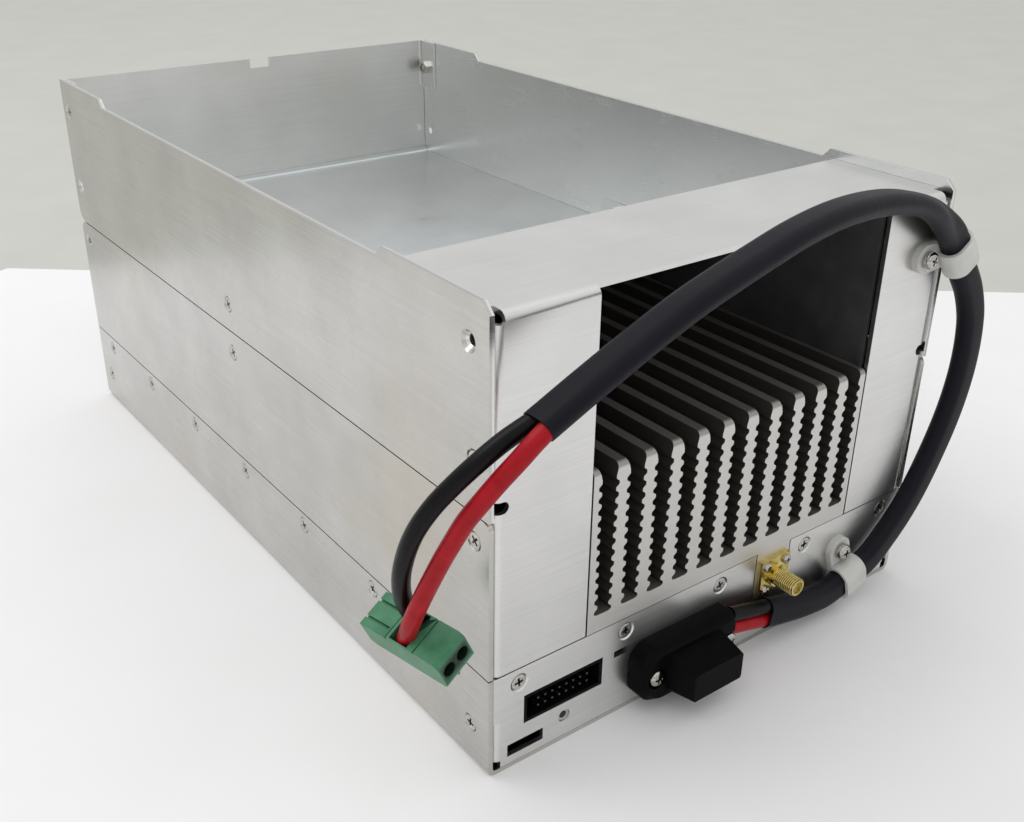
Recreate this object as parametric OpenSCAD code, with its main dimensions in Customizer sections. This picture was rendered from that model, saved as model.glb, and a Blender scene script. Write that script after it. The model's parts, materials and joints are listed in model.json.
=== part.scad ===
// Radio-frequency power amplifier module in a folded aluminium case with an open tray on top.
// Millimetres, Z up. The origin is the middle of the case's footprint on the bench,
// and the connector face looks towards -Y.

/* [Case] */
// Width over the side sheets
case_w = 176; // [172:1:186]
// Depth from the front face to the rear face
case_d = 300; // [286:1:330]
// Height of the corner ears
case_h = 142; // [138:0.5:148]
// Drop of the tray's edge and of the top strip below the ears
ear_drop = 3; // [2:0.5:4]
// Length of each ear along its side
ear_l = 48; // [40:1:56]
// Chamfer of the ears' front corners
ear_chamfer = 3; // [1:0.5:4]
// Thickness of the folded sheets
sheet_t = 1.5; // [1.4:0.1:1.8]
// Outer radius of the sheet bends
bend_r = 2.5; // [2.2:0.1:3]
// Height of the seam above the lower band
low_h = 33.8; // [33:0.1:36]
// Height of the seam below the tray walls
seam_h = 83.3; // [80:0.1:85]
// Width of the open line at a seam
seam_gap = 0.4; // [0.2:0.1:0.6]
// Play between a sheet and what it slides past
fit_gap = 0.1; // [0.05:0.05:0.2]
// Radius of the rear corners at the upper seam
seam_corner_r = 5; // [2:0.5:8]
// Radius of the side plates' front corners at the upper seam
plate_corner_r = 2.5; // [1:0.5:4]
// Width of the notch in the rear wall's top edge
notch_w = 9.5; // [6:0.5:14]
// Depth of the notch in the rear wall's top edge
notch_d = 4; // [2:0.5:6]
// Height of the tray floor's upturned rear edge
floor_lip = 3.5; // [3.2:0.1:4]

/* [Front cover] */
// Depth of the top strip
strip_d = 46; // [40:1:50]
// Distance from the front face to the foot of the slope
slope_d = 146; // [134:1:150]
// Length of the slope's foot on the tray floor
slope_foot = 10; // [6:1:12]
// Length of the bent side flanges
flange_l = 14; // [12:0.5:16]
// Height of the bend relief beside the seam
relief_h = 3.5; // [2:0.5:4]
// Depth of the bend relief into the front face
relief_w = 4.5; // [4:0.5:6]
// Height of the corner relief under the top strip
top_relief_h = 3; // [3:0.1:5]
// Width of the corner relief from the flange inwards
top_relief_w = 3; // [3:0.1:5]
// Depth of the corner relief into the top strip
top_relief_d = 5; // [3:0.5:8]

/* [Heat sink] */
// Number of slots between the fins
slot_n = 11; // [9:1:11]
// Pitch of the slots
slot_pitch = 10; // [9.5:0.1:10.2]
// Width of a slot at its floor, between the teeth
slot_w = 5.2; // [4.6:0.1:5.6]
// How far each flank leans back over its height
slot_flare = 0.5; // [0.2:0.1:0.8]
// Outer wall of the finned block
block_wall = 1.8; // [1.6:0.1:2.4]
// Thickness of the base slab
slab_t = 10; // [9.6:0.1:10.6]
// Floor of the slots above the slab
web_t = 5.7; // [4:0.1:8]
// Height of the fin tops above the slab
fin_h = 53.2; // [52:0.1:56]
// Pitch of the teeth on a fin's flanks
tooth_pitch = 3.7; // [3.2:0.1:4.5]
// Depth of the teeth
tooth_depth = 1.1; // [0.6:0.1:1.3]
// Radius at the fins' end corners
fin_end_r = 6; // [3:0.5:9]
// Offset of the finned block to the right of the centre
block_x = 1.5; // [-1:0.5:2]
// Play round the finned block in the covers' openings
block_gap = 0.6; // [0.5:0.1:1]

/* [Screws] */
// Radius of the case screws' shanks
shank_r = 1.5; // [1.3:0.05:1.6]
// Radius of the countersunk heads
head_r = 2.75; // [2.5:0.05:2.85]
// Length of the case screws
screw_l = 5; // [5:0.5:8]
// Depth of a countersunk head below its face
head_sink = 0.2; // [0.1:0.05:0.2]
// Play round a shank
thread_gap = 0.05; // [0.02:0.01:0.1]
// Number of screws in a side's lower row
row_n = 7; // [5:1:9]
// Distance of the lower row's end screws from the case's ends
row_margin = 16.5; // [15:0.5:22]
// Number of screws across a lower panel
panel_row_n = 5; // [3:1:5]
// Distance of a lower panel's end screws from the case's sides
panel_margin = 10.4; // [9.5:0.1:12]
// Distance of the upper screws from the case's ends
edge_screw = 6.5; // [6:0.1:7.5]
// Height of the screws in the side plates
plate_screw_z = 75.3; // [70:0.1:76]
// Height of the lower holes at the tray walls' ends
wall_screw_z = 99; // [97:0.1:101]
// Drop of the screws in the rear wall's upper tabs below the ears
tab_screw_drop = 12; // [10:0.5:14]
// Height of the screws in the lower panels' tabs
low_tab_screw_z = 13.6; // [11:0.1:14]
// Distance of the empty screw hole in each front ear from the front face
ear_hole_y = 8.5; // [7:0.5:10]
// Drop of the empty screw hole below the ears
ear_hole_drop = 12; // [11:0.5:14]

/* [Connectors] */
// Distance of the control header's centre from the left side
header_x = 26.4; // [25:0.1:28]
// Height of the control header's centre
header_z = 18.4; // [17.5:0.1:18.5]
// Width of the control header
header_w = 28.4; // [26:0.1:29]
// Height of the control header's shroud
header_h = 9.6; // [9:0.1:10]
// Depth of the shroud behind the front face
header_d = 10; // [9:0.5:12]
// Wall of the shroud
header_wall = 1.1; // [0.9:0.1:1.3]
// Pitch of the header's pins
pin_pitch = 2.54; // [2:0.01:2.54]
// Side of a square header pin
pin_w = 0.64; // [0.5:0.02:0.8]
// Number of pins in a row
pin_n = 8; // [5:1:8]
// Distance of the RF jack to the right of the centre
jack_x = 23.5; // [22:0.5:25]
// Side of the RF jack's square flange
jack_flange = 12.7; // [12:0.1:13]
// Thickness of the RF jack's flange
jack_flange_t = 1.7; // [1.4:0.1:2]
// Spacing of the RF jack's screws
jack_hole_s = 8.64; // [8.2:0.02:8.8]
// Radius of the RF jack's threaded barrel
jack_r = 3.175; // [3.1:0.025:3.2]
// Length of the barrel in front of the flange
jack_l = 9.5; // [8:0.5:11]
// Radius of the jack's centre contact
jack_pin_r = 0.635; // [0.5:0.005:0.7]
// Radius of the jack's insulator
jack_ins_r = 2.05; // [1.9:0.05:2.2]
// Place of the power plug's centre, to the left of the centre where below zero
hood_x = -17; // [-18:0.5:-16]
// Height of the power plug's centre
hood_z = 13.2; // [13:0.1:13.8]
// Spacing of the power plug's two screws
hood_screw_s = 30.5; // [29:0.5:31]
// Height of the power plug's hood
hood_h = 19; // [18:0.5:20]
// Depth of the hood's body in front of the panel
hood_d = 8; // [7.5:0.5:9]
// Reach of the hood's middle block in front of the panel
block_reach = 18; // [15:0.5:20]
// Distance of the output jack from the centre
out_x = 0; // [-30:1:30]
// Height of the output jack
out_z = 16.9; // [16:0.1:17.5]
// Side of the output jack's flange
out_flange = 25.4; // [24:0.1:26]
// Radius of the output jack's threaded barrel
out_r = 7.94; // [7.8:0.02:8]
// Length of the output barrel behind its flange
out_l = 13; // [10:0.5:15]

/* [Cable] */
// Width of the flat sleeve
sleeve_w = 10.2; // [9.8:0.1:10.4]
// Thickness of the flat sleeve
sleeve_h = 6.4; // [6:0.1:6.4]
// Diameter of each wire
wire_d = 4.8; // [4.4:0.1:4.8]
// Thickness of the nylon clips
clip_t = 1.2; // [1:0.1:1.2]
// Width of the nylon clips along the cable
clip_w = 9.5; // [8:0.5:10]
// Play between sleeve and clip
clip_gap = 0.2; // [0.15:0.05:0.3]

/* [Terminal plug] */
// Width across the two poles
plug_w = 10.8; // [10.6:0.1:12]
// Height of the plug's body
plug_h = 10.5; // [10.4:0.1:12]
// Length from the screw end to the mating end
plug_l = 28; // [26.5:0.5:30]
// Pitch of the poles
pole_pitch = 5.08; // [5.04:0.01:5.1]
// Radius of the screwdriver holes
driver_r = 1.95; // [1.9:0.05:2.1]
// Travel of a clamp cage
cage_travel = 2; // [1.5:0.1:2]

/* [Hidden] */
$fn = 48;
eps = 1;
yf = -case_d / 2;
yr = case_d / 2;
xl = -case_w / 2;
in_x = case_w / 2 - sheet_t;
fl_x = in_x - fit_gap;
slab_z = low_h - slab_t;
slab_mid_z = low_h - slab_t / 2;
fin_z = low_h + fin_h;
floor_z = fin_z + sheet_t;
strip_z = case_h - ear_drop;
tab_screw_z = case_h - tab_screw_drop;
ear_hole_z = case_h - ear_hole_drop;
flange_top = strip_z - top_relief_h;
seam_lo = seam_h - seam_gap / 2;
seam_hi = seam_h + seam_gap / 2;
low_top = low_h - seam_gap / 2;
mid_bot = low_h + seam_gap / 2;
csk_h = head_r - shank_r;
lap = 2;
hex_af = 5.5;
hex_w = hex_af / cos(30);
hex_t = 2.4;

// The finned block and the openings in the covers that it fills
block_w = (slot_n - 1) * slot_pitch + slot_w + 2 * slot_flare + tooth_depth + 2 * block_wall;
open_w = block_w + 2 * block_gap;
open_x0 = block_x - open_w / 2;
slot_z = low_h + web_t;
slot_h = fin_h - web_t;
tooth_n = floor(slot_h / tooth_pitch);
tooth_steps = [[0.10, 1], [0.38, 1], [0.62, -1], [0.90, -1]];

// The top strip and the slope behind it
slope_a = atan2(strip_z - floor_z - sheet_t, slope_d - strip_d);
slope_k = sheet_t * tan(slope_a / 2);
floor_y0 = yf + slope_d - slope_foot;
floor_y1 = yr - sheet_t - fit_gap;
lip_x = fl_x - top_relief_w;
foot_x = fl_x - sheet_t - hex_t - 2 * fit_gap;

// Joining plates behind the upper seam, and the reliefs beside it
joiner_w = 20;
joiner_end = 9;
joiner_screw_rise = 4.5;
joiner_z0 = plate_screw_z - joiner_end;
joiner_z1 = floor_z + joiner_end;
joiner_screw_z = floor_z + joiner_screw_rise;
relief_rise = 1.7;
relief_z0 = seam_h + relief_rise;
relief_z1 = relief_z0 + relief_h;

// Tabs of the lower panels and of the rear wall
low_tab_z0 = 4;
low_tab_z1 = 18;
low_tab_inset = 5;
panel_z0 = sheet_t + fit_gap;
rear_tab_l = 12.5;
rear_tab_drop = 9;
plate_margin = 3;

// Screw places on a side, as distance from the front face and height
row_sites = [for (i = [0:row_n - 1]) [row_margin + i * (case_d - 2 * row_margin) / (row_n - 1), slab_mid_z]];
low_tab_y = flange_l - low_tab_inset;
low_tab_sites = [for (y = [low_tab_y, case_d - low_tab_y]) [y, low_tab_screw_z]];
plate_sites = [for (y = [edge_screw, case_d / 2, case_d - edge_screw]) [y, plate_screw_z]];
tab_site = [case_d - edge_screw, tab_screw_z];
joiner_sites = [for (z = [plate_screw_z, joiner_screw_z]) [case_d / 2, z]];
wall_sites = [[edge_screw, wall_screw_z], joiner_sites[1], tab_site];
ear_hole = [ear_hole_y, ear_hole_z];
empty_sites = [ear_hole, [case_d - edge_screw, wall_screw_z]];
flange_sites = [[edge_screw, plate_screw_z], [edge_screw, wall_screw_z], ear_hole];
panel_sites = [for (i = [0:panel_row_n - 1])
    panel_margin + i * (case_w - 2 * panel_margin) / (panel_row_n - 1)];

// The RF input jack: its contact lies on the board, in a pocket of the slab
board_t = 1.6;
board_x = 76;
board_end = 22;
contact_gap = 0.02;
contact_lap = 4;
jack_z = slab_z + jack_pin_r + contact_gap;
jack_tab_side = 1.15;
jack_tab_drop = 1.6;
jack_tab_w = jack_flange + 2 * jack_tab_side;
jack_tab_z = jack_z - jack_flange / 2 - jack_tab_drop;
jack_tab_d = 12;
jack_collar = 0.5;
jack_collar_l = 1.5;
jack_mouth = 2;
jack_pin_end = 1.5;
jack_screw_r = 0.9;
jack_screw_l = 5;
jack_hole_l = 6;
jack_head_r = 1.6;
jack_head_h = 1.2;
jack_bore_r = 2.35;
jack_reach = board_end + contact_lap;
pocket_w = 10;
pocket_h = 4;

// Other cut-outs of the front panel, from the left side
card_slot = [6.5, 4.2, 12.6, 4.1];
lamp_slot = [45, 20.9, 5, 2.2];
insert_site = [26.8, 8.8];
insert_r = 2;
insert_rim = 0.8;
insert_l = 4;
insert_sink = 0.6;
insert_bore_r = 1.25;
header_floor = 2.5;
pin_tail = 3;
pin_tip = 0.5;

// The power plug and its socket
nose_w = 22;
nose_h = 9;
nose_l = 6;
socket_w = 38;
socket_h = 15;
socket_d = 12;
nose_lap = 1.2;
hood_screw_r = 1.3;
hood_screw_l = 6;
hood_head_r = 2.7;
hood_head_h = 2.1;
hood_head_room = 3.4;
hood_seat = 5;
hood_sides = [-hood_screw_s / 2, hood_screw_s / 2];
hood_left = hood_screw_s / 2 + 4.8;
hood_right = hood_screw_s / 2 + 3.15;
hood_w = hood_left + hood_right;
hood_round = 6;
hood_corner = 2;
hood_bevel_d = 2.5;
hood_bevel_w = 1.6;
block_foot = [23, 13];
block_face = [20, 9.6];
wire_exit = 4.6;
root_rise = 4;
wire_gap = 0.05;

// The amplifier's own parts under the slab
device_n = 4;
device_pitch = 34;
device_w = 10;
device_d = 34;
device_y = 20;
device_flange_t = 1.6;
device_lid_inset = 0.2;
device_lid_d = 22.6;
device_lid_t = 3;
device_play = 0.4;
isolator_s = 30;
isolator_t = 9;
isolator_inset = 70;
isolator_y = yr - isolator_inset;
isolator_lid_r = 13;
isolator_lid_t = 1.5;
cap_n = 5;
cap_pitch = 22;
cap_r = 5;
cap_h = 12;
cap_inset = 44;
cap_y = yf + cap_inset;
board_screw_r = 1.25;
board_screw_l = 5;
board_head_r = 2.6;
board_head_h = 1.8;
board_edge = 6;
board_mid_rows = [-10, 70];

// The output jack
out_flange_t = 3;
out_hole_s = 18.3;
out_body_r = 6.4;
out_body_l = 5;
out_ins_r = 4.1;
out_pin_r = 1.5;
out_screw_r = 1.3;
out_screw_l = 7;
out_head_r = 2.6;
out_head_h = 2;
out_mouth = 8;
out_pin_end = 3;
strap_l = 3;
strap_t = 0.6;

// Route of the cable from the left, front and bottom of a case of the width and strip height below.
// Its upper part rises with the strip. Each clip holds one straight stretch
route_w = 176;
route_z = 139;
lift_from = 40;
lift_to = 115;
sleeve_route = [
    [105, -4.6, 13.7], [112, -4.6, 12], [126, -4.6, 9.4], [139, -4.6, 9.4], [153, -4.6, 13.4],
    [164, -4.6, 21], [174, -4.6, 32], [182, -4.6, 46], [188.5, -4.6, 62], [191.5, -4.6, 78],
    [190.5, -4.6, 94], [186, -4.6, 105.5], [179, -4.6, 115.5], [173, -4.6, 124.5], [165, -5.4, 131.5],
    [154, -6.8, 138.3], [140.5, -8.5, 143.3], [123, -11, 147], [102.5, -14, 148.6], [84, -16.5, 147.6],
    [66, -18.5, 144.5], [54.5, -19.5, 142], [43, -20, 138.8], [29.5, -20, 133.5], [13.5, -20, 126.5],
    [-1, -20, 119.8]
];
lower_clip_i = 3;
upper_clip_i = 12;
twist_from = 13;
twist_to = 16;
black_route = [
    [0, -17.5, 120.3], [-7, -15.6, 116.3], [-12.6, -13.8, 112], [-17.2, -11, 106.6], [-21.2, -7.5, 100],
    [-24, -4, 92.3], [-24.9, -0.4, 83.2], [-24, 3, 74], [-21.6, 5.4, 66]
];
red_route = [
    [0, -22.5, 120.3], [-4.8, -21.4, 116.8], [-8.4, -20, 113.8], [-11.4, -18, 108.6], [-13.8, -15.5, 103],
    [-16.2, -13, 97.2], [-18, -10.5, 91], [-19.4, -8, 84.6], [-20.6, -5.4, 78], [-22.2, -2.6, 71.2],
    [-23.9, 0.8, 63.5]
];
lower_clip_screw = [143.3, 21.6];
upper_clip_screw = [163.5, 120];
clip_root = 0.45 * clip_w;
clip_screw_tail = 4;
clip_head_r = 2.8;
clip_head_h = 2.2;
washer_r = 3.1;
washer_t = 0.8;
sleeve_sides = 12;
wire_sides = 10;

// The terminal plug hangs on its wires, turned about Z and rolled about its length
plug_place = [-15.6, -7.9, 53.7];
plug_yaw = 12;
plug_roll = -26;
plug_bevel = 1.2;
plug_toe = 2;
nose_drop = 1.4;
nose_slope = 0.5;
groove_w = 0.9;
seam_w = 0.5;
bore_l = 8;
seat_t = 1;
cage_gap = 0.1;
cage_y = bore_l + seat_t + cage_gap;
cage_wall = 0.9;
cage_side = 0.25;
cage_w = 4.3;
cage_z0 = -2.9;
cage_z1 = 1.9;
cage_play = 0.3;
clamp_head_r = 1.6;
clamp_head_l = 1.8;
clamp_r = 1.2;
clamp_fit = 0.06;
clamp_end = cage_y + cage_wall + cage_travel;
clamp_head_y = bore_l - cage_gap - clamp_head_l;
clamp_slot_w = 0.6;
clamp_slot_d = 0.7;
tongue_t = 0.4;
tongue_w = 3.6;
tongue_y = clamp_end + cage_gap;
ferrule_r = 1.1;
ferrule_y = tongue_y + tongue_t + ferrule_r + cage_gap;
cage_l = ferrule_y + ferrule_r + cage_gap + cage_wall - cage_y;
ferrule_z0 = cage_z0 + 0.4;
funnel_l = 6.2;
wire_end_z = 3.4;
bar_z0 = -4;
bar_t = 0.6;
nose_y = 18.6;
mate_slot = [3, 7.5, 4.6];
mate_end = 2;
channel_end = 1.5;
rib_w = 0.8;
rib_d = 0.9;
rib_start = 0.6;
cavity_w = cage_w + cage_play;
cavity_end = cage_y + cage_l + cage_travel + cage_play;

// Places: local Z points out of the face named
module front_at(x, z) translate([xl + x, yf, z]) rotate([90, 0, 0]) children();
module front_mid(x, z) translate([x, yf, z]) rotate([90, 0, 0]) children();
module rear_at(x, z) translate([x, yr, z]) rotate([90, 0, 180]) children();
module side_at(s, y, z) translate([s * case_w / 2, yf + y, z]) rotate([90, 0, 90 * s]) children();
module at_sides(s, sites) for (p = sites) side_at(s, p[0], p[1]) children();
// A profile drawn in Y and Z, pushed along X from x0
module along_x(x0, w) translate([x0, 0, 0]) rotate([90, 0, 90]) linear_extrude(w) children();

module both_sides() for (m = [0, 1]) mirror([m, 0, 0]) children();
module at_corners(s) for (a = [-1, 1]) for (b = [-1, 1]) translate([a * s / 2, b * s / 2, 0]) children();
// A rod or a drill downwards from local Z = 0, and what cuts a hole or a window through a sheet
module down(r, l) translate([0, 0, -l]) cylinder(r = r, h = l);
module sheet_hole(r) cylinder(r = r, h = 4 * sheet_t, center = true);
module sheet_window(w, h) cube([w, h, 4 * sheet_t], center = true);

// Countersunk screws, and their holes in a face at local Z = 0
module csk_screw(l) translate([0, 0, -head_sink]) {
    translate([0, 0, -csk_h]) cylinder(r1 = shank_r, r2 = head_r, h = csk_h);
    translate([0, 0, -csk_h]) down(shank_r, l - csk_h);
}
module csk_hole(l) {
    h = csk_h + head_sink;
    translate([0, 0, -h]) cylinder(r1 = shank_r + thread_gap, r2 = shank_r + thread_gap + h, h = h);
    down(shank_r + thread_gap, l);
    cylinder(r = shank_r + thread_gap + h, h = eps);
}

// Two legs of sheet and the bend between them, its outer corner at the origin
module fold_2d(face, leg) {
    translate([bend_r, 0]) square([face - bend_r, sheet_t]);
    translate([0, bend_r]) square([sheet_t, leg - bend_r]);
    difference() {
        intersection() {
            square(bend_r);
            translate([bend_r, bend_r]) circle(bend_r);
        }
        translate([bend_r, bend_r]) circle(bend_r - sheet_t);
    }
}
// A bent tab at one side of a front sheet, or of a rear one when s_end is -1
module side_fold(s, s_end, z0, z1, leg) {
    translate([s * fl_x, s_end * yf, z0]) mirror([s > 0 ? 1 : 0, 0, 0]) mirror([0, s_end < 0 ? 1 : 0, 0])
        linear_extrude(z1 - z0) fold_2d(bend_r + relief_w, leg);
}
module end_sheet(s_end, z0, z1, inset) {
    y0 = s_end > 0 ? yf : yr - sheet_t;
    translate([-fl_x + inset, y0, z0]) cube([2 * (fl_x - inset), sheet_t, z1 - z0]);
}

// Case sheets
module sheet_colour() color("#bdbdba") children();

module bottom_cover() sheet_colour() difference() {
    translate([0, yr, 0]) rotate([90, 0, 0]) linear_extrude(case_d) for (m = [0, 1]) mirror([m, 0])
        translate([xl, 0]) fold_2d(case_w / 2 + eps, low_top);
    for (s = [-1, 1]) at_sides(s, concat(row_sites, low_tab_sites)) csk_hole(sheet_t + eps);
}

module lower_panel(s_end) difference() {
    y0 = s_end > 0 ? yf : yr - sheet_t;
    union() {
        end_sheet(s_end, panel_z0, low_top, bend_r);
        for (s = [-1, 1]) side_fold(s, s_end, low_tab_z0, low_tab_z1, flange_l);
        both_sides() translate([fl_x - bend_r - eps, y0, low_tab_z1])
            cube([bend_r + eps, sheet_t, low_top - low_tab_z1]);
    }
    for (s = [-1, 1]) at_sides(s, low_tab_sites) down(shank_r + thread_gap, 3 * sheet_t);
}

module front_lower_panel() sheet_colour() difference() {
    lower_panel(1);
    for (x = panel_sites) front_at(x, slab_mid_z) csk_hole(sheet_t + eps);
    front_at(header_x, header_z) sheet_window(header_w + 2 * fit_gap, header_h + 2 * fit_gap);
    for (c = [card_slot, lamp_slot]) front_at(c[0] + c[2] / 2, c[1] + c[3] / 2) sheet_window(c[2], c[3]);
    front_at(insert_site[0], insert_site[1]) sheet_hole(insert_r + fit_gap);
    on_panel(lower_clip_screw) sheet_hole(shank_r + thread_gap);
    front_mid(hood_x, hood_z) sheet_window(nose_w + 2 * fit_gap, nose_h + 2 * fit_gap);
    for (x = hood_sides) front_mid(hood_x + x, hood_z) sheet_hole(hood_screw_r + thread_gap);
    front_mid(jack_x, 0) translate([0, 0, -2 * sheet_t]) linear_extrude(4 * sheet_t) jack_notch_2d();
}
// The notch round the RF jack's tab, with rounded lower corners
module jack_notch_2d() {
    half = jack_tab_w / 2 + seam_gap;
    z0 = jack_tab_z - seam_gap;
    r = 3 * seam_gap;
    translate([-half, z0 + r]) square([2 * half, low_h]);
    translate([-half + r, z0]) square([2 * (half - r), r + eps]);
    for (s = [-1, 1]) translate([s * (half - r), z0 + r]) circle(r);
}

module rear_lower_panel() sheet_colour() difference() {
    lower_panel(-1);
    for (x = panel_sites) rear_at(xl + x, slab_mid_z) csk_hole(sheet_t + eps);
    rear_at(out_x, out_z) sheet_hole(out_body_r + fit_gap);
    rear_at(out_x, out_z) at_corners(out_hole_s) sheet_hole(out_screw_r + thread_gap);
}

module side_sheet(s, sites) difference() {
    along_x(s < 0 ? xl : in_x, sheet_t) children();
    at_sides(s, sites) csk_hole(sheet_t + eps);
}
module side_plate(s) sheet_colour() side_sheet(s, plate_sites) difference() {
    translate([yf, mid_bot]) square([case_d, seam_lo - mid_bot]);
    translate([yr - seam_corner_r, seam_lo - seam_corner_r]) corner_2d(seam_corner_r);
    translate([yf + plate_corner_r, seam_lo - plate_corner_r]) mirror([1, 0]) corner_2d(plate_corner_r);
}
// What a rounded corner takes away
module corner_2d(r) difference() {
    square(r + eps);
    circle(r);
}
module side_plate_left() side_plate(-1);
module side_plate_right() side_plate(1);

module tray_wall(s) sheet_colour() side_sheet(s, concat(wall_sites, empty_sites)) difference() {
    polygon([
        [yf, seam_hi], [yr, seam_hi], [yr, case_h],
        [yr - ear_l + ear_drop, case_h], [yr - ear_l, strip_z],
        [yf + ear_l + ear_drop, strip_z], [yf + ear_l, case_h], [yf + ear_chamfer, case_h],
        [yf, case_h - ear_chamfer]
    ]);
    translate([yr - seam_corner_r, seam_hi + seam_corner_r]) mirror([0, 1]) corner_2d(seam_corner_r);
}
module tray_wall_left() tray_wall(-1);
module tray_wall_right() tray_wall(1);

module front_cover() sheet_colour() difference() {
    union() {
        end_sheet(1, mid_bot, strip_z - bend_r, bend_r);
        for (r = [[mid_bot, relief_z0], [relief_z1, flange_top]]) for (s = [-1, 1])
            side_fold(s, 1, r[0], r[1], flange_l);
        along_x(-lip_x, 2 * lip_x) translate([yf, strip_z]) mirror([0, 1]) fold_2d(strip_d, bend_r + eps);
        translate([-fl_x, yf + bend_r, strip_z - sheet_t]) cube([2 * fl_x, strip_d - bend_r, sheet_t]);
        along_x(-fl_x, 2 * fl_x) slope_2d(0);
        along_x(-foot_x, 2 * foot_x) slope_2d(slope_foot);
    }
    both_sides() translate([fl_x - relief_w + relief_h / 2, yf, relief_z0 + relief_h / 2])
        rotate([90, 0, 0]) bend_relief();
    both_sides() translate([fl_x - top_relief_w, yf - eps, flange_top])
        cube([top_relief_w + eps, top_relief_d + eps, top_relief_h + eps]);
    translate([open_x0, yf - eps, low_h - eps]) cube([open_w, bend_r + eps, case_h]);
    for (s = [-1, 1]) at_sides(s, flange_sites) down(shank_r + thread_gap, 3 * sheet_t);
    on_panel(upper_clip_screw) sheet_hole(shank_r + thread_gap);
    joiner_room();
    nut_room();
}
// A slot with a round inner end, cut where the flange is split at the seam
module bend_relief() {
    sheet_hole(relief_h / 2);
    translate([relief_w / 2, 0, 0]) sheet_window(relief_w, relief_h);
}
// The end of the strip, the slope and a foot of the length given
module slope_2d(foot) {
    y0 = yf + strip_d;
    y1 = yf + slope_d;
    top = [[y0 - lap, strip_z], [y0, strip_z], [y1, floor_z + sheet_t]];
    low = [[y1 - slope_k, floor_z], [y0 - slope_k, strip_z - sheet_t], [y0 - lap, strip_z - sheet_t]];
    foot_points = [[y1 + foot, floor_z + sheet_t], [y1 + foot, floor_z]];
    polygon(concat(top, foot > 0 ? foot_points : [], low));
}

module rear_cover() sheet_colour() difference() {
    union() {
        end_sheet(-1, mid_bot, case_h, bend_r);
        for (s = [-1, 1]) for (r = rear_tabs) side_fold(s, -1, r[0], r[1], rear_tab_l);
        both_sides() for (r = rear_edges) translate([fl_x - bend_r - eps, yr - sheet_t, r[0]])
            cube([bend_r + eps, sheet_t, r[1] - r[0]]);
    }
    translate([open_x0, yr - bend_r, low_h - eps]) cube([open_w, bend_r + eps, fin_h - sheet_t + eps]);
    translate([-notch_w / 2, yr - bend_r, case_h - notch_d]) cube([notch_w, bend_r + eps, notch_d + eps]);
    for (s = [-1, 1]) at_sides(s, [plate_sites[2], tab_site]) down(shank_r + thread_gap, 3 * sheet_t);
}
rear_tabs = [
    [mid_bot + plate_margin, seam_lo - plate_margin],
    [tab_screw_z - rear_tab_drop, case_h]
];
rear_edges = [
    [mid_bot, rear_tabs[0][0] - fit_gap],
    [rear_tabs[0][1] + fit_gap, rear_tabs[1][0] - fit_gap]
];

// The floor of the tray, its rear edge turned up along the rear wall
module tray_floor() color("#b4b8bc") difference() {
    along_x(-fl_x, 2 * fl_x) translate([floor_y1, fin_z]) mirror([1, 0])
        fold_2d(floor_y1 - floor_y0, floor_lip);
    joiner_room();
}

// The space that both joining plates take in the sheets between the walls, and their upper nuts in the slope
module joiner_room() for (s = [-1, 1]) translate([s * fl_x, 0, joiner_z1])
    cube([2 * (sheet_t + fit_gap), joiner_w + 2 * fit_gap, 2 * joiner_w], center = true);
module nut_room() for (s = [-1, 1]) translate([s * fl_x, 0, joiner_screw_z])
    cube([2 * (sheet_t + hex_t + fit_gap), hex_w + 2 * fit_gap, joiner_w], center = true);
module seam_joiner(s) sheet_colour() difference() {
    translate([s > 0 ? fl_x - sheet_t : -fl_x, -joiner_w / 2, joiner_z0])
        cube([sheet_t, joiner_w, joiner_z1 - joiner_z0]);
    at_sides(s, joiner_sites) down(shank_r + thread_gap, 4 * sheet_t);
}
module seam_joiner_left() seam_joiner(-1);
module seam_joiner_right() seam_joiner(1);

// Heat sink: one extrusion, its end faces flush with the covers
function flank_half(k, step) =
    slot_w / 2 + slot_flare * (k + step[0]) / tooth_n + step[1] * tooth_depth / 2;
flank = concat([[slot_w / 2 - tooth_depth / 2, slot_z]],
    [for (k = [0:tooth_n - 1]) for (step = tooth_steps)
        [flank_half(k, step), slot_z + (k + step[0]) * tooth_pitch]],
    [[slot_w / 2 + slot_flare + tooth_depth / 2, fin_z + eps]]);
slot_outline = concat(flank, [for (i = [len(flank) - 1:-1:0]) [-flank[i][0], flank[i][1]]]);

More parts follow.
